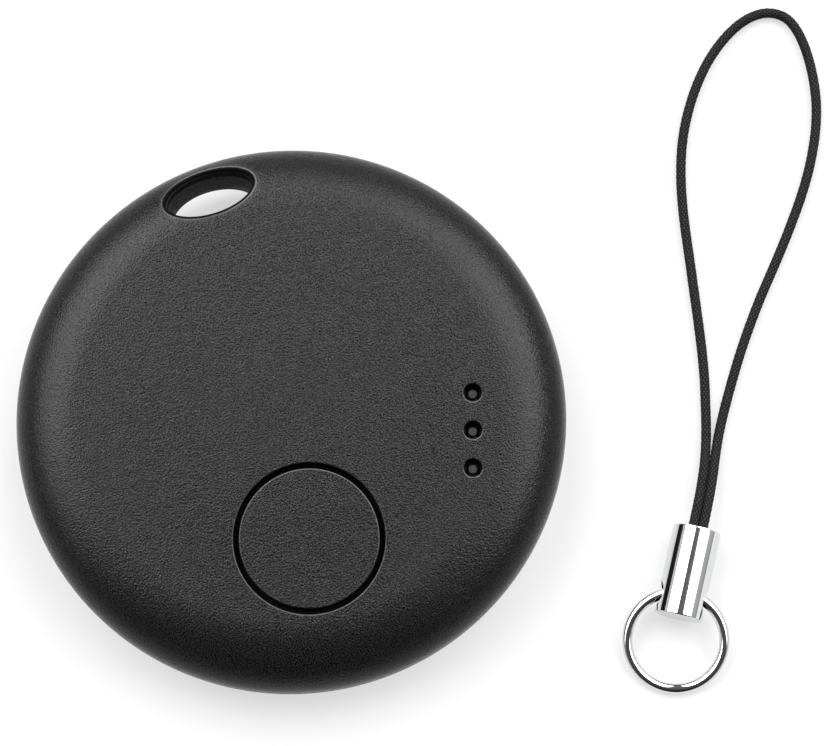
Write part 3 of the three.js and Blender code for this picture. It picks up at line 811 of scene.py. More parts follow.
def smooth_route(points, per_span=14):
    """A centripetal Catmull-Rom line through the points."""
    p = np.asarray(points, float)
    p = np.vstack([2 * p[0] - p[1], p, 2 * p[-1] - p[-2]])
    out = []
    for i in range(1, len(p) - 2):
        quad = p[i - 1 : i + 3]
        gaps = np.linalg.norm(np.diff(quad, axis=0), axis=1)
        knots = np.concatenate([[0], np.cumsum(gaps**0.5)])
        for t in np.linspace(knots[1], knots[2], per_span, endpoint=False):
            level = quad
            for span in (1, 2, 3):
                level = [
                    ((knots[k + span] - t) * level[k] + (t - knots[k]) * level[k + 1])
                    / (knots[k + span] - knots[k])
                    for k in range(len(level) - 1)
                ]
            out.append(level[0])
    out.append(p[-2])
    return np.array(out)


def evenly(line, step):
    """The line with its points a step apart, and how far along it each one is."""
    gaps = np.linalg.norm(np.diff(line, axis=0), axis=1)
    along = np.concatenate([[0], np.cumsum(gaps)])
    at = np.linspace(0, along[-1], max(2, round(along[-1] / step)) + 1)
    return np.column_stack([np.interp(at, along, column) for column in line.T]), at


def sides_along(line):
    """Two directions across the line at each point, turning as little as may be."""
    tangent = unit(np.gradient(line, axis=0))
    side = np.zeros_like(line)
    side[0] = unit(np.cross(tangent[0], (0, 0, 1)))
    for i in range(1, len(line)):
        side[i] = unit(side[i - 1] - tangent[i] * (side[i - 1] @ tangent[i]))
    return side, np.cross(tangent, side)


# The cord's two limbs lie side by side in the ferrule's bore
LIMB_APART = 0.365
ferrule_along = np.array([-math.sin(FERRULE_TURN), math.cos(FERRULE_TURN), 0])
ferrule_across = np.array([math.cos(FERRULE_TURN), math.sin(FERRULE_TURN), 0])
ferrule_origin = np.array([*FERRULE_HOLE, FERRULE_RADIUS])
# From the ferrule's own frame, with +Y towards the cord, to the row frame
TO_FERRULE = Matrix.Translation(ferrule_origin) @ Matrix.Rotation(FERRULE_TURN, 4, "Z")


def limb(way):
    """A limb's two points in the bore, from its end to the ferrule's mouth."""
    return [
        ferrule_origin + ferrule_along * y + ferrule_across * LIMB_APART * way
        for y in (FERRULE_MOUTH - BORE_DEPTH + 0.15, FERRULE_MOUTH - 0.3)
    ]


cord_points = [*limb(-1), *CORD_ROUTE, *limb(1)[::-1]]
cord_line, cord_along = evenly(smooth_route(cord_points), 0.1)

BRAID_PITCH = 3.5
STRANDS_EACH_WAY = 8
STRAND_MIDDLE = 0.315
STRAND_SWING = 0.035
STRAND_SLACK = 0.004
SLACK_KNOTS = 40
STRAND_HALF_WIDTH = 0.108
STRAND_HALF_THICKNESS = 0.055
STRAND_SIDES = 6
CORE_RADIUS = 0.29
CORE_SIDES = 12
# How fast the filaments' noise runs along and across a strand. Each strand has its own place in it.
FIBRE_ALONG = 1.2
FIBRE_ACROSS = 3.0


def braided_cord():
    side, up = sides_along(cord_line)
    rng = np.random.default_rng(7)
    build = Builder()
    strands, painted_light_shares = [], []

    def tube(middle, across, out, turn, half_width, half_height, place, painted_light_share):
        """A closed tube. Its points are marked for the filaments, and for painted shade that
        darkens the strand where it passes under the other way and on its inner side.
        """
        w, h = half_width * np.cos(turn)[:, None], half_height * np.sin(turn)[:, None]
        rings = build.loft(middle[:, None] + across[:, None] * w + out[:, None] * h)
        build.face(rings[0][::-1])
        build.face(rings[-1])
        shape = (len(middle), len(turn))
        place = [np.broadcast_to(p, shape) for p in place]
        strands.append(np.stack(place, axis=-1).reshape(-1, 3))
        painted_light_shares.append(np.broadcast_to(painted_light_share, shape).ravel())

    corner = turns(STRAND_SIDES)
    knots = np.linspace(0, cord_along[-1], SLACK_KNOTS)
    for way in (1, -1):
        for k in range(STRANDS_EACH_WAY):
            slack = np.interp(cord_along, knots, rng.normal(0, 1, SLACK_KNOTS)) * STRAND_SLACK
            turn = 2 * math.pi * (k / STRANDS_EACH_WAY + way * cord_along / BRAID_PITCH)
            crossing = np.cos(2 * math.pi * STRANDS_EACH_WAY * cord_along / BRAID_PITCH)
            radius = STRAND_MIDDLE + way * STRAND_SWING * crossing + slack
            out = side * np.cos(turn)[:, None] + up * np.sin(turn)[:, None]
            middle = cord_line + out * radius[:, None]
            across = unit(np.cross(out, unit(np.gradient(middle, axis=0))))
            own = k * 7.3 + way * 31.0
            place = cord_along[:, None] * FIBRE_ALONG, np.cos(corner) * FIBRE_ACROSS, own
            # Share of painted light: 1 on top of a crossing and on the strand's outer side, less
            # where it passes under the other way and on its inner side
            painted_light_share = (0.5 + 0.5 * way * crossing)[:, None] * (0.5 + 0.5 * np.sin(corner))
            half = STRAND_HALF_WIDTH, STRAND_HALF_THICKNESS
            tube(middle, across, out, corner, *half, place, painted_light_share)
    # The core gets no painted light, so it is painted in the darkest shade
    coarse = slice(None, None, 4)
    corner = turns(CORE_SIDES)
    place = cord_along[coarse, None], np.cos(corner), 0.0
    line = cord_line[coarse], side[coarse], up[coarse]
    tube(*line, corner, CORE_RADIUS, CORE_RADIUS, place, 0.0)
    piece = build.object("cord_braid", [cord_nylon], weld=0)
    mark(piece.data, "strand", np.vstack(strands), "FLOAT_VECTOR", "vector")
    mark(piece.data, "painted_light_share", np.concatenate(painted_light_shares))
    return settle(piece, "strap", "cord_nylon", ["strap_cord"], angle=180)


def ferrule_barrel():
    radius, edge, bevel = FERRULE_RADIUS, 0.07, 0.14
    count, rows, around = 144, 28, 64
    build = Builder()
    low, high = FERRULE_TIP + bevel, FERRULE_MOUTH - bevel
    turn = np.linspace(-math.pi, math.pi, count + 1)

    def ring(turn, radius, y):
        x, z = radius * np.sin(turn), radius * np.cos(turn)
        return np.column_stack([x, np.full(len(turn), y), z])

    # The round side, unrolled, with the cross hole's two mouths in it
    layout = Layout()
    hole = CROSS_HOLE_RADIUS + edge
    for row in range(rows + 1):
        y = low + (high - low) * row / rows
        near_hole = np.hypot(y, radius * np.cos(turn)) < hole + 0.05
        near_hole &= np.abs(np.sin(turn)) > 0.3
        kept = turn if row in (0, rows) else turn[~near_hole]
        layout.add(np.column_stack([kept * radius, np.full(len(kept), y)]), ring(kept, radius, y))

    def mouth(side, radius_there):
        y, z = radius_there * np.cos(turns(around)), radius_there * np.sin(turns(around))
        return np.column_stack([side * np.sqrt(radius**2 - z**2), y, z])

    loops, lips = [], []
    for side in (1, -1):
        outer, corner = mouth(side, hole), mouth(side, CROSS_HOLE_RADIUS)
        flat = np.column_stack([np.arctan2(outer[:, 0], outer[:, 2]) * radius, outer[:, 1]])
        loops.append(layout.add(flat, outer))
        lips.append(lip(outer, corner, corner - (side * edge, 0, 0), 5))
    mouths = [set(loop) for loop in loops]
    loops = layout.faces(build, loops, lambda face, _: any(m.issuperset(face) for m in mouths))
    build.bridge(*(build.extend(loop, rings) for loop, rings in zip(loops, lips)))

    # The mouth's rim and its bore, and the tip
    floor = FERRULE_MOUTH - BORE_DEPTH
    bore = [(BORE_RADIUS + 0.1, FERRULE_MOUTH), (BORE_RADIUS + 0.03, FERRULE_MOUTH - 0.03)]
    bore += [(BORE_RADIUS, FERRULE_MOUTH - 0.1), (BORE_RADIUS, floor)]
    bore += [(BORE_RADIUS * 0.5, floor - 0.02)]
    tip = [(radius * 0.7, FERRULE_TIP), (radius * 0.3, FERRULE_TIP)]
    for start, way, inward, middle in ((high, 1, bore, floor - 0.03), (low, -1, tip, FERRULE_TIP)):
        end = build.add(ring(turn[:-1], radius, start))
        rim = [
            (radius - bevel * (1 - math.cos(a)), start + way * bevel * math.sin(a))
            for a in quarter(7)[1:]
        ]
        last = build.extend(end, [ring(turn[:-1], r, y) for r, y in rim + inward])
        build.fan(last, (0, middle, 0))
    piece = build.object("ferrule_barrel", [chrome])

    # Painted shade inside the bore and the cross hole, and a little under the tip
    x, y, z = read(piece.data.vertices, "co").T
    out = np.hypot(x, z)
    deep = (out < BORE_RADIUS + 0.05) & (y > 1.5)
    deep |= (np.hypot(y, z) < CROSS_HOLE_RADIUS + 0.01) & (out > 0.5)
    under_tip = np.clip((FERRULE_TIP + 0.06 - y) / 0.05, 0, 1) * 0.16
    mark(piece.data, "painted_bore_shade", np.maximum(deep, under_tip))
    # The barrel's ends painted a little paler, as polish from rubbing and a painted highlight
    wear = lambda p: 1 - np.minimum(p[:, 1] - FERRULE_TIP, FERRULE_MOUTH - p[:, 1]) / 0.15
    replaces = ["strap_ferrule"]
    return settle(piece, "strap", "chrome", replaces, Barrel, 1, wear, 50, TO_FERRULE)


def jump_ring():
    """A ring of round wire. Its butt joint lies inside the ferrule's cross hole."""
    build = Builder()
    gap = 0.02 / RING_RADIUS
    section = turns(40)
    turn = np.linspace(math.pi / 2 + gap, math.pi / 2 + 2 * math.pi - gap, 220)
    out = RING_RADIUS + WIRE_RADIUS * np.cos(section)
    height = WIRE_RADIUS * np.sin(section)
    made = build.loft(np.column_stack([out * math.cos(a), out * math.sin(a), height]) for a in turn)
    for end in (0, -1):
        a = turn[end]
        build.fan(made[end], (RING_RADIUS * math.cos(a), RING_RADIUS * math.sin(a), 0))
    piece = build.object("jump_ring", [chrome])
    lean = math.asin((FERRULE_RADIUS - WIRE_RADIUS) / (RING_REACH + RING_RADIUS))
    place = Matrix.Rotation(lean, 4, "X") @ Matrix.Translation((RING_OFFSET, -RING_REACH, 0))
    return settle(piece, "ring", "chrome", ["strap_ring"], angle=60, place=TO_FERRULE @ place)


cord = braided_cord()
tuple(np.asarray(CORD_ROUTE[0]) * MM)
[tuple(p) for p in cord_line[::4] * MM]
ferrule_barrel()
jump_ring()

# ---------------------------------------------------------------- case outline


def crown(radius):
    return FRONT_CROWN * (1 - (radius / CASE_RADIUS) ** 2)


def to_seam(base, way):
    """The profile's rounded end onto the seam face. way is 1 above the seam and -1 below."""
    return [
        (CASE_RADIUS - SEAM_LIP * (1 - math.cos(a)), base + way * SEAM_LIP * (1 - math.sin(a)))
        for a in quarter(6)
    ]


def rim_curve(width, count):
    """The rim as a superellipse: the radius at each point and its share of the full rise."""
    for a in quarter(count)[::-1]:
        across, up = max(math.cos(a), 0), math.sin(a)
        yield CASE_RADIUS - width * (1 - across ** (2 / RIM_EXPONENT)), up ** (2 / RIM_EXPONENT)


SEAM_MARGIN = SEAM_LIP + 0.05


def front_profile():
    flat = CASE_RADIUS - FRONT_RIM_WIDTH
    points = [(r, FRONT_SHOULDER + crown(r)) for r in np.linspace(0, flat, 36)[:-1]]
    for r, share in rim_curve(FRONT_RIM_WIDTH, 72):
        z = FRONT_BASE + (FRONT_SHOULDER - FRONT_BASE) * share + crown(r)
        if z > FRONT_BASE + SEAM_MARGIN:
            points.append((r, z))
    return points + to_seam(FRONT_BASE, 1)


def rear_profile(start, edge):
    flat = CASE_RADIUS - REAR_RIM_WIDTH
    points = [(start + edge * (1 - math.cos(a)), edge * (1 - math.sin(a))) for a in quarter(5)]
    points += [(r, 0.0) for r in np.linspace(start + edge, flat, 12)[1:-1]]
    for r, share in rim_curve(REAR_RIM_WIDTH, 60):
        z = REAR_TOP * (1 - share)
        if z < REAR_TOP - SEAM_MARGIN:
            points.append((r, z))
    return points + to_seam(REAR_TOP, -1)


front = Turned(front_profile())
# Points: how far apart they lie on the faces, and how many there are round each outline
FRONT_SPACING = 0.42
REAR_SPACING = 0.55
RIM_COUNT = 320
RIM_RINGS = 9
SLOT_COUNT = 128
SLEEVE_COUNT = 96
BUTTON_COUNT = 180
PORT_COUNT = 48
DOOR_COUNT = 240
HOLLOW_COUNT = 160
# Which material a face takes: the plain finish, or the one for walls inside openings, which on the
# front shell and the button is painted darker as shade
PLAIN, RECESS = 0, 1
# The slot's lip in front: how far it reaches out and in, and how far down
LIP_OUT, LIP_IN, LIP_DROP = 0.216, -0.144, 0.26
# The ledge on the slot's wall: how far it stands out, and where it starts and ends
LEDGE_GROW, LEDGE_TOP, LEDGE_FOOT = -0.19, 6.1, 5.5
REAR_LIP = 0.25


def round_hole(centre, radius, count, clear):
    loop = circle(radius, 0, count, centre)[:, :2]
    return loop, lambda p: round_gap(p, centre, radius), clear


def slot_hole(semi, grow, clear):
    return slot_loop(semi, grow, SLOT_COUNT), lambda p: slot_gap(p, semi, grow), clear


def front_shell():
    build = Builder()
    holes = [
        slot_hole(SLOT_FRONT, LIP_OUT, 0.14),
        round_hole(BUTTON_CENTRE, WELL_RADIUS + BUTTON_LIP, BUTTON_COUNT, 0.16),
        *(round_hole(centre, PORT_RADIUS + PORT_EDGE, PORT_COUNT, 0.1) for centre in PORTS),
    ]
    rim, rings = skin(build, front, FRONT_SPACING, RIM_RINGS, RIM_COUNT, holes)
    outlines = [loop for loop, _, _ in holes]

    # Slot wall, its step over the rear shell's collar, and the seam face
    wall = slot_loop(SLOT_FRONT, LIP_IN, SLOT_COUNT)
    rounding = front.lip(outlines[0], wall, LIP_DROP, 12)
    low = build.extend(rings[0], rounding[:3])
    build.kind = RECESS
    low = build.extend(low, rounding[3:])
    inner = rounding[-1]
    step = COLLAR_TOP + 0.05
    ledge = slot_loop(SLOT_FRONT, LEDGE_GROW, SLOT_COUNT)
    recess = slot_loop(SLOT_REAR, COLLAR_WALL + 0.1, SLOT_COUNT)
    walls = [inner + (at_height(wall, LEDGE_TOP) - inner) * t for t in (0.35, 0.7, 1)]
    corner = at_height(ledge, LEDGE_TOP)
    walls += lip(walls[-1], corner, corner - (0, 0, 0.08), 5)
    walls += [at_height(ledge, z) for z in (LEDGE_FOOT, step)]
    walls += [at_height(recess, z) for z in (step, FRONT_BASE)]
    seam_hole = build.extend(low, walls)
    build.kind = PLAIN
    flat_face(build, rim, [seam_hole])

    # Button well and its pocket, and the ports, as blind holes that meet the cavity below
    well = circle(WELL_RADIUS, 0, BUTTON_COUNT, BUTTON_CENTRE)
    pocket = circle(POCKET_RADIUS, 0, BUTTON_COUNT, BUTTON_CENTRE)
    blind = [(BUTTON_CENTRE, well, BUTTON_LIP, 5)]
    blind += [(c, circle(PORT_RADIUS, 0, PORT_COUNT, c), PORT_EDGE, 4) for c in PORTS]
    for (centre, wall, drop, steps), outline, ring in zip(blind, outlines[1:], rings[1:]):
        build.kind = PLAIN
        edge = build.extend(ring, front.lip(outline, wall, drop, steps))
        build.kind = RECESS
        walls = [at_height(wall, BLIND_END)]
        if wall is well:
            walls = [at_height(well, POCKET_TOP), at_height(pocket, POCKET_TOP)]
            walls.append(at_height(pocket, BLIND_END))
        build.fan(build.extend(edge, walls), (*centre, BLIND_END))
    shell = build.object("front_case", [case_plastic, shaded_recess_plastic])

    # The hollow inside, less the slot's sleeve and the screw bosses
    hollow = [(0, 3.0), (INNER_RADIUS, 3.0), (INNER_RADIUS, 5.3), (17.4, 6.3)]
    hollow += [(16, ROOF_UNDERSIDE), (0, ROOF_UNDERSIDE)]
    hollow = lathe("hollow", rounded(hollow, 0.3), HOLLOW_COUNT)
    boolean(hollow, prism(slot_loop(SLOT_LAND, 0, SLEEVE_COUNT), 2.0, 9.0))
    boss = band(0.55, 1.3, 5.6, 7.5)
    for a in map(math.radians, BOSS_DEGREES):
        centre = (BOSS_CIRCLE * math.cos(a), BOSS_CIRCLE * math.sin(a))
        boolean(hollow, lathe("boss", boss, 40, centre))
    boolean(shell, hollow)

    # Painted highlights, also taken as polish from rubbing: pale lines on the slot's lip, strongest
    # towards the lit back and right, on the slot's ledge, and on the lower, lit halves of the
    # button well's and the ports' rims
    def wear(p):
        rise = np.abs(p[:, 2] - front.height(p))
        x, y = (p[:, :2] - SLOT_CENTRE).T
        lit = np.clip(0.72 + 0.6 * (x * 0.15 + y * 0.3), 0.45, 1)
        near = edge_line(slot_gap(p, SLOT_FRONT, 0.155), 0.05) * (rise < 0.12) * lit
        near += 0.8 * (np.abs(p[:, 2] - LEDGE_TOP) < 0.06) * (slot_gap(p, SLOT_FRONT) < 0)
        rim = edge_line(round_gap(p, BUTTON_CENTRE, WELL_RADIUS + 0.05), 0.045) * (rise < 0.06)
        near += rim * (0.3 - 0.3 * (p[:, 1] - BUTTON_CENTRE[1]) / WELL_RADIUS)
        for centre in PORTS:
            rim = edge_line(round_gap(p, centre, PORT_RADIUS + 0.04), 0.04) * (rise < 0.05)
            near += rim * np.clip(0.2 - 0.9 * (p[:, 1] - centre[1]) / PORT_RADIUS, 0, 1)
        return near

    settle(shell, "case", "case_plastic", ["front_shell"], front, 1, wear)


def rear_shell():
    surface = Turned(rear_profile(DOOR_OPENING_RADIUS, 0.15))
    build = Builder()
    hole = slot_hole(SLOT_REAR, REAR_LIP, 0.16)
    rim, rings = skin(build, surface, REAR_SPACING, RIM_RINGS, RIM_COUNT, [hole], DOOR_COUNT)
    opening, slot = rings

    # Slot wall from the back up to the collar's top, and down its outside to the seam face
    wall = slot_loop(SLOT_REAR, 0, SLOT_COUNT)
    rounding = surface.lip(hole[0], wall, -0.3, 7)
    edge = build.extend(slot, rounding)
    build.kind = RECESS
    inner, high = rounding[-1], at_height(wall, COLLAR_TOP - 0.1)
    walls = [inner + (high - inner) * t for t in np.linspace(0, 1, 6)[1:]]
    rim_top = at_height(slot_loop(SLOT_REAR, 0.1, SLOT_COUNT), COLLAR_TOP)
    walls += lip(high, at_height(wall, COLLAR_TOP), rim_top, 4)
    outside = slot_loop(SLOT_REAR, COLLAR_WALL, SLOT_COUNT)
    walls += [at_height(outside, z) for z in (COLLAR_TOP, REAR_TOP)]
    seam_hole = build.extend(edge, walls)
    build.kind = PLAIN
    round_wall = circle(DOOR_OPENING_RADIUS, REAR_TOP, DOOR_COUNT)
    flat_face(build, rim, [seam_hole, build.extend(opening, [round_wall])])
    shell = build.object("rear_case", [case_plastic, bore_plastic])

    # The hollow round the door's wall, the gasket's groove and the finger-nail notch
    hollow = [(12.8, FLOOR_TOP), (INNER_RADIUS, FLOOR_TOP), (INNER_RADIUS, 4.6)]
    hollow += [(11.0, 4.6), (11.0, 2.2), (12.8, 2.2)]
    hollow = lathe("hollow", rounded(hollow, 0.25, closed=True), HOLLOW_COUNT)
    boolean(hollow, prism(slot_loop(SLOT_LAND, 0, SLEEVE_COUNT), 0.5, 6.0))
    boolean(shell, hollow)
    groove = lathe("groove", band(18.75, 19.45, 3.52, 4.3), 200)
    boolean(groove, prism(slot_loop((4.55, 2.85), 0.35, SLEEVE_COUNT), 3.0, 5.0))
    boolean(shell, groove)
    boolean(shell, nail_notch())

    # Edges painted paler, as polish from rubbing and a painted highlight: round the door's opening
    # and the slot at the back, and along the collar's top
    def wear(p):
        near = bell(round_gap(p, (0, 0), DOOR_OPENING_RADIUS + 0.05), 0.09) * (p[:, 2] < 0.15)
        near += bell(slot_gap(p, SLOT_REAR, 0.1), 0.12) * (p[:, 2] < 1.6)
        near += 0.15 * (p[:, 2] > COLLAR_TOP - 0.12)
        return near

    settle(shell, "case", "case_plastic", ["rear_shell"], surface, -1, wear)


NOTCH_Y = -11.68
NOTCH_HALF = (2.5, 0.72, 0.5)


def nail_notch():
    """A smooth scoop across the door's edge, for a finger nail."""
    build = Builder()
    ball = circle(1, 0, 64)
    middle = np.array([0, NOTCH_Y, 0])
    made = build.loft(
        middle + (ball * math.cos(tilt) + (0, 0, math.sin(tilt))) * NOTCH_HALF
        for tilt in np.linspace(-math.pi / 2, math.pi / 2, 21)[1:-1]
    )
    for end, way in ((0, -1), (-1, 1)):
        build.fan(made[end], (0, NOTCH_Y, way * NOTCH_HALF[2]))
    return build.object("notch")


def button_cap():
    build = Builder()
    radii = (0.4, 0.9, 1.5, 2.2, 2.9, 3.6, 4.2, 4.7, 5.05, BUTTON_RADIUS - BUTTON_LIP)
    flat = [front.raised(circle(r, 0, BUTTON_COUNT, BUTTON_CENTRE)) for r in radii]
    top = build.loft(flat)
    build.fan(top[0], (*BUTTON_CENTRE, front.height([BUTTON_CENTRE])[0]))
    side = circle(BUTTON_RADIUS, 0, BUTTON_COUNT, BUTTON_CENTRE)
    rim = build.extend(top[-1], front.lip(flat[-1], side, BUTTON_LIP, 6))
    build.kind = RECESS

    # Down the side, round the flange that keeps the cap in, and the pin that meets the switch
    edge = FLANGE_RADIUS - FLANGE_EDGE
    walls = [(BUTTON_RADIUS, FLANGE_TOP), (edge, FLANGE_TOP)]
    walls += [(FLANGE_RADIUS, FLANGE_TOP - FLANGE_EDGE), (FLANGE_RADIUS, BLIND_END + FLANGE_EDGE)]
    walls += [(edge, BLIND_END), (PIN_RADIUS, BLIND_END)]
    walls += [(PIN_RADIUS, PIN_END + 0.03), (PIN_RADIUS - 0.03, PIN_END)]
    walls = [circle(r, z, BUTTON_COUNT, BUTTON_CENTRE) for r, z in walls]
    build.fan(build.extend(rim, walls), (*BUTTON_CENTRE, PIN_END))
    cap = build.object("button_face", [case_plastic, shaded_recess_plastic])

    # Painted highlight: a pale line round the cap's rim, strongest on its upper half where the
    # light falls
    def wear(p):
        rim = edge_line(round_gap(p, BUTTON_CENTRE, BUTTON_RADIUS - 0.05), 0.045)
        lit = np.clip(0.35 + 0.45 * (p[:, 1] - BUTTON_CENTRE[1]) / BUTTON_RADIUS, 0, 1)
        return rim * (p[:, 2] > 7.3) * lit

    settle(cap, "button", "case_plastic", ["button_cap"], front, 1, wear)


def port_posts():
    """Three posts on a bar, with a foot across each of the bar's ends."""
    build = Builder()
    half = PORT_PITCH + 1.3
    bars = [(0.35, PORT_MIDDLE_Y, half)]
    bars += [(0.9, PORT_MIDDLE_Y + end * (half - 0.25), 0.25) for end in (-1, 1)]
    for wide, y, long in bars:
        box_mesh(build, (PORT_X - wide, y - long, 6.4), (PORT_X + wide, y + long, 6.75), 0.05)
    tip = POST_TOP + 0.02
    profile = [(POST_RADIUS + 0.06, 6.7), (POST_RADIUS, 6.8), (POST_RADIUS, POST_TOP), (0.0, tip)]
    profile = rounded(profile, 0.09, 5)
    for centre in PORTS:
        rings = build.loft(circle(max(r, 0.004), z, 40, centre) for r, z in profile)
        build.fan(rings[-1], (*centre, tip))
        build.fan(rings[0], (*centre, 6.7))
    piece = build.object("port_posts", [insert_plastic], weld=1e-5)
    # Painted highlight: the posts' tops are painted paler
    wear = lambda p: (p[:, 2] > POST_TOP - 0.08) * 0.5
    settle(piece, "case", "insert_plastic", ["port_insert"], wear=wear)


front_shell()
rear_shell()
button_cap()
port_posts()

# ---------------------------------------------------------------- battery door and cell


def turned(name, body, slot, node, material, profile, count, **settings):
    piece = lathe(name, profile, count, materials=[material])
    settle(piece, body, slot, [node], **settings)


def battery_door():
    """A disc with a skirt, and a low bead inside it."""
    profile = [(0, 0), (4, 0), (8, 0), (DOOR_RADIUS - 0.4, 0), (DOOR_RADIUS, 0), (DOOR_RADIUS, 1)]
    profile += [(11.25, 1), (11.25, 2), (10.45, 2), (10.45, 1), (7, 1), (7, 1.27)]
    profile += [(6.3, 1.27), (6.3, 1), (3, 1), (0, 1)]
    door = lathe("back_door", rounded(profile, 0.13, 5), DOOR_COUNT, materials=[door_plastic])
    boolean(door, nail_notch())
    # The door's rim painted paler, as polish from rubbing and a painted highlight
    wear = lambda p: bell(round_gap(p, (0, 0), DOOR_RADIUS - 0.05), 0.08) * (p[:, 2] < 0.15)
    face = Turned([(0, 0), (DOOR_RADIUS - 0.13, 0)])
    settle(door, "door", "door_plastic", ["battery_door"], face, -1, wear)


def coin_cell():
    bottom, top, rim = 1.3, 4.5, 4.3
    wear = lambda p: bell(round_gap(p, (0, 0), CELL_RADIUS - 0.07), 0.06) * (p[:, 2] < bottom + 0.2)
    can = [(0, bottom), (3, bottom), (7.2, bottom), (CELL_RADIUS, bottom), (CELL_RADIUS, rim)]
    can += [(9.4, rim), (9.4, 4.1), (9.7, 3.95), (9.75, 1.6), (5, 1.6), (0, 1.6)]
    cap = [(0, top), (4, top), (8.75, top), (8.75, 3.4), (8.5, 3.4), (8.5, 4.15)]
    cap += [(8.35, 4.25), (4, 4.25), (0, 4.25)]
    grommet = band(8.8, 9.35, 3.15, 4.2)
    core = [(0, 1.65), (9.6, 1.65), (9.6, 3.05), (8.4, 3.05), (8.4, 4.15), (0, 4.2)]
    steel, plastic, filling = (
        ("cell_steel", cell_steel), ("inner_plastic", inner_plastic), ("cell_core", cell_core)
    )
    for name, node, (slot, material), profile, count, marks in (
        ("cell_can", "can", steel, rounded(can, 0.24, 5), 240, wear),
        ("cell_cap", "cap", steel, rounded(cap, 0.18, 5), 240, None),
        ("cell_insulator", "grommet", plastic, rounded(grommet, 0.08, 3, closed=True), 200, None),
        ("cell_filling", "core", filling, rounded(core, 0.12, 4), 160, None),
    ):
        turned(name, "cell", slot, "coin_cell_" + node, material, profile, count, wear=marks)


battery_door()
seal = np.column_stack([11.52 + 0.22 * np.cos(turns(14)), 1.45 + 0.22 * np.sin(turns(14))])
turned("door_o_ring", "door", "silicone", "door_seal", silicone, seal, DOOR_COUNT, angle=60)
coin_cell()

# ---------------------------------------------------------------- carried-over CAD nodes

# Each finish, the width of its softened edges in mm, and the nodes that have both
CARRIED = (
    (silicone, 0.08, "shell_gasket"),
    (inner_plastic, 0.12, "battery_carrier"),
    (silicone, 0.03, "button_gasket"),
    (switch_plastic, 0.06, "switch_body switch_plunger"),
    (acoustic_mesh, 0.01, "port_membrane"),
    (board_laminate, 0.05, "circuit_board"),
    (chip_package, 0.06, "bluetooth_chip"),
    (plated_steel, 0.1, "crystal"),
    (antenna_ceramic, 0.06, "chip_antenna"),
    (capacitor_ceramic, 0.04, "capacitor_1 capacitor_2 capacitor_3"),
    (chip_package, 0.03, "resistor_1 resistor_2"),
    (chip_package, 0.08, "inductor"),
    (screw_steel, 0.04, "board_screw_1 board_screw_2 board_screw_3"),
    (foam_tape, 0.03, "piezo_foam_ring"),
    (piezo_brass, 0.02, "piezo_brass_disc"),
    (antenna_ceramic, 0.02, "piezo_ceramic"),
    (gold_plate, 0.04, "piezo_contact_inner piezo_contact_outer"),
    (plated_steel, 0.03, "battery_contact_positive"),
    (plated_steel, 0.02, "battery_contact_negative"),
)

SHARP_EDGE = math.radians(35)

for material, edge, names in CARRIED:
    for node in (frame["nodes"][name] for name in names.split()):
        node.data.materials.clear()
        node.data.materials.append(material)
        soften = node.modifiers.new("edges", "BEVEL")
        soften.width = edge * MM
        soften.segments = 2
        soften.limit_method = "ANGLE"
        soften.angle_limit = SHARP_EDGE

# ---------------------------------------------------------------- studio

# A sheet of paper 6 m across, a hair below the object
FLOOR_REACH = 3000
FLOOR_DROP = 0.03
floor_build = Builder()
square = np.array([(-1, -1), (1, -1), (1, 1), (-1, 1)]) * FLOOR_REACH
floor_build.face(floor_build.add(at_height(square, -FLOOR_DROP)))
floor = floor_build.object("floor")
floor.data.transform(Matrix.Scale(MM, 4))
paper = Finish("paper", (1, 1, 1), gloss=0.1)
paper.feed(paper.shader, {"Emission Color": (1, 1, 1, 1), "Emission Strength": 0.6})
pulp = paper.mix(paper.noise(40.0), tint(paper.colour, 0.165), tint(paper.colour, 0.175))
floor.data.materials.append(paper.done(pulp, paper.ramp(paper.noise(5.0), 0, 1, 0.85, 0.95)))

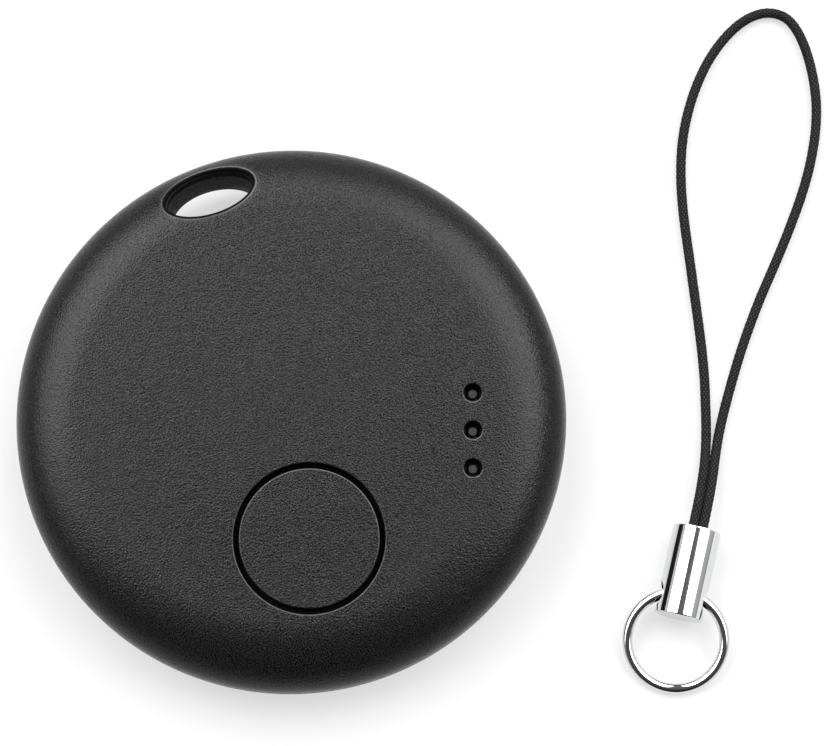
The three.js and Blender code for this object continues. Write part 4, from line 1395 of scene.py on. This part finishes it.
# Slopes from straight up: sideways for the gap and the boxes' outer ends, and front to back
GAP_SHIFT = 0.03
GAP_EDGE = (0.13, 0.17)
GAP_START = 0.17
GAP_SPREAD = 1.8
BOX_SIDE = (1.3, 1.8)
BOX_FRONT = (-1.3, 0.77)
BOX_SEAMS = ((-0.976, 0.11), (0.543, 0.09))
DARK_SIDE = (-30.0, -9.0)
BOX_BACK = (0.87, 1.62)
BOX_LIGHT = 11.5
WALL_LIGHT = 0.48
ROOM_LIGHT = 0.2


def studio_light():
    """Two large softboxes overhead, left and right of a dark gap, with grey walls below them."""
    world = bpy.data.worlds.new("studio")
    scene.world = world
    world.use_nodes = True
    n = Nodes(world.node_tree)

    def fade(source, low, high, first=0.0, last=1.0):
        return n.ramp(source, low, high, first, last, interpolation_type="SMOOTHSTEP")

    def product(first, *others):
        for other in others:
            first = n.maths("MULTIPLY", first, other)
        return first

    x, y, z = n.split(n.add("TexCoord", out="Generated"))
    up = n.maths("MAXIMUM", z, 0.02)
    u, v = n.maths("DIVIDE", x, up), n.maths("DIVIDE", y, up)
    aside = n.maths("ABSOLUTE", u)
    spread = n.maths("MAXIMUM", n.maths("SUBTRACT", GAP_START, v), 0.0)
    off_gap = n.maths("ABSOLUTE", n.maths("ADD", u, GAP_SHIFT))
    off_gap = n.maths("SUBTRACT", off_gap, product(spread, GAP_SPREAD))
    box = product(fade(off_gap, *GAP_EDGE), fade(aside, *BOX_SIDE, 1.0, 0.0))
    for place, width in BOX_SEAMS:
        off_seam = n.maths("ABSOLUTE", n.maths("SUBTRACT", u, place))
        box = product(box, fade(off_seam, width * 0.5, width, 0.03, 1.0))
    box = product(box, fade(v, *BOX_FRONT), fade(v, *BOX_BACK, 1.0, 0.12))
    wall = product(fade(aside, *BOX_SIDE), fade(v, *BOX_FRONT, 0.8, 1.0), fade(u, *DARK_SIDE))
    light = n.maths("ADD", product(box, BOX_LIGHT), product(wall, WALL_LIGHT))
    light = n.maths("ADD", light, fade(v, *BOX_FRONT, 0.1 * ROOM_LIGHT, ROOM_LIGHT))
    n.feed(n.tree.nodes["Background"], {"Strength": light, "Color": (1, 1, 1, 1)})


studio_light()
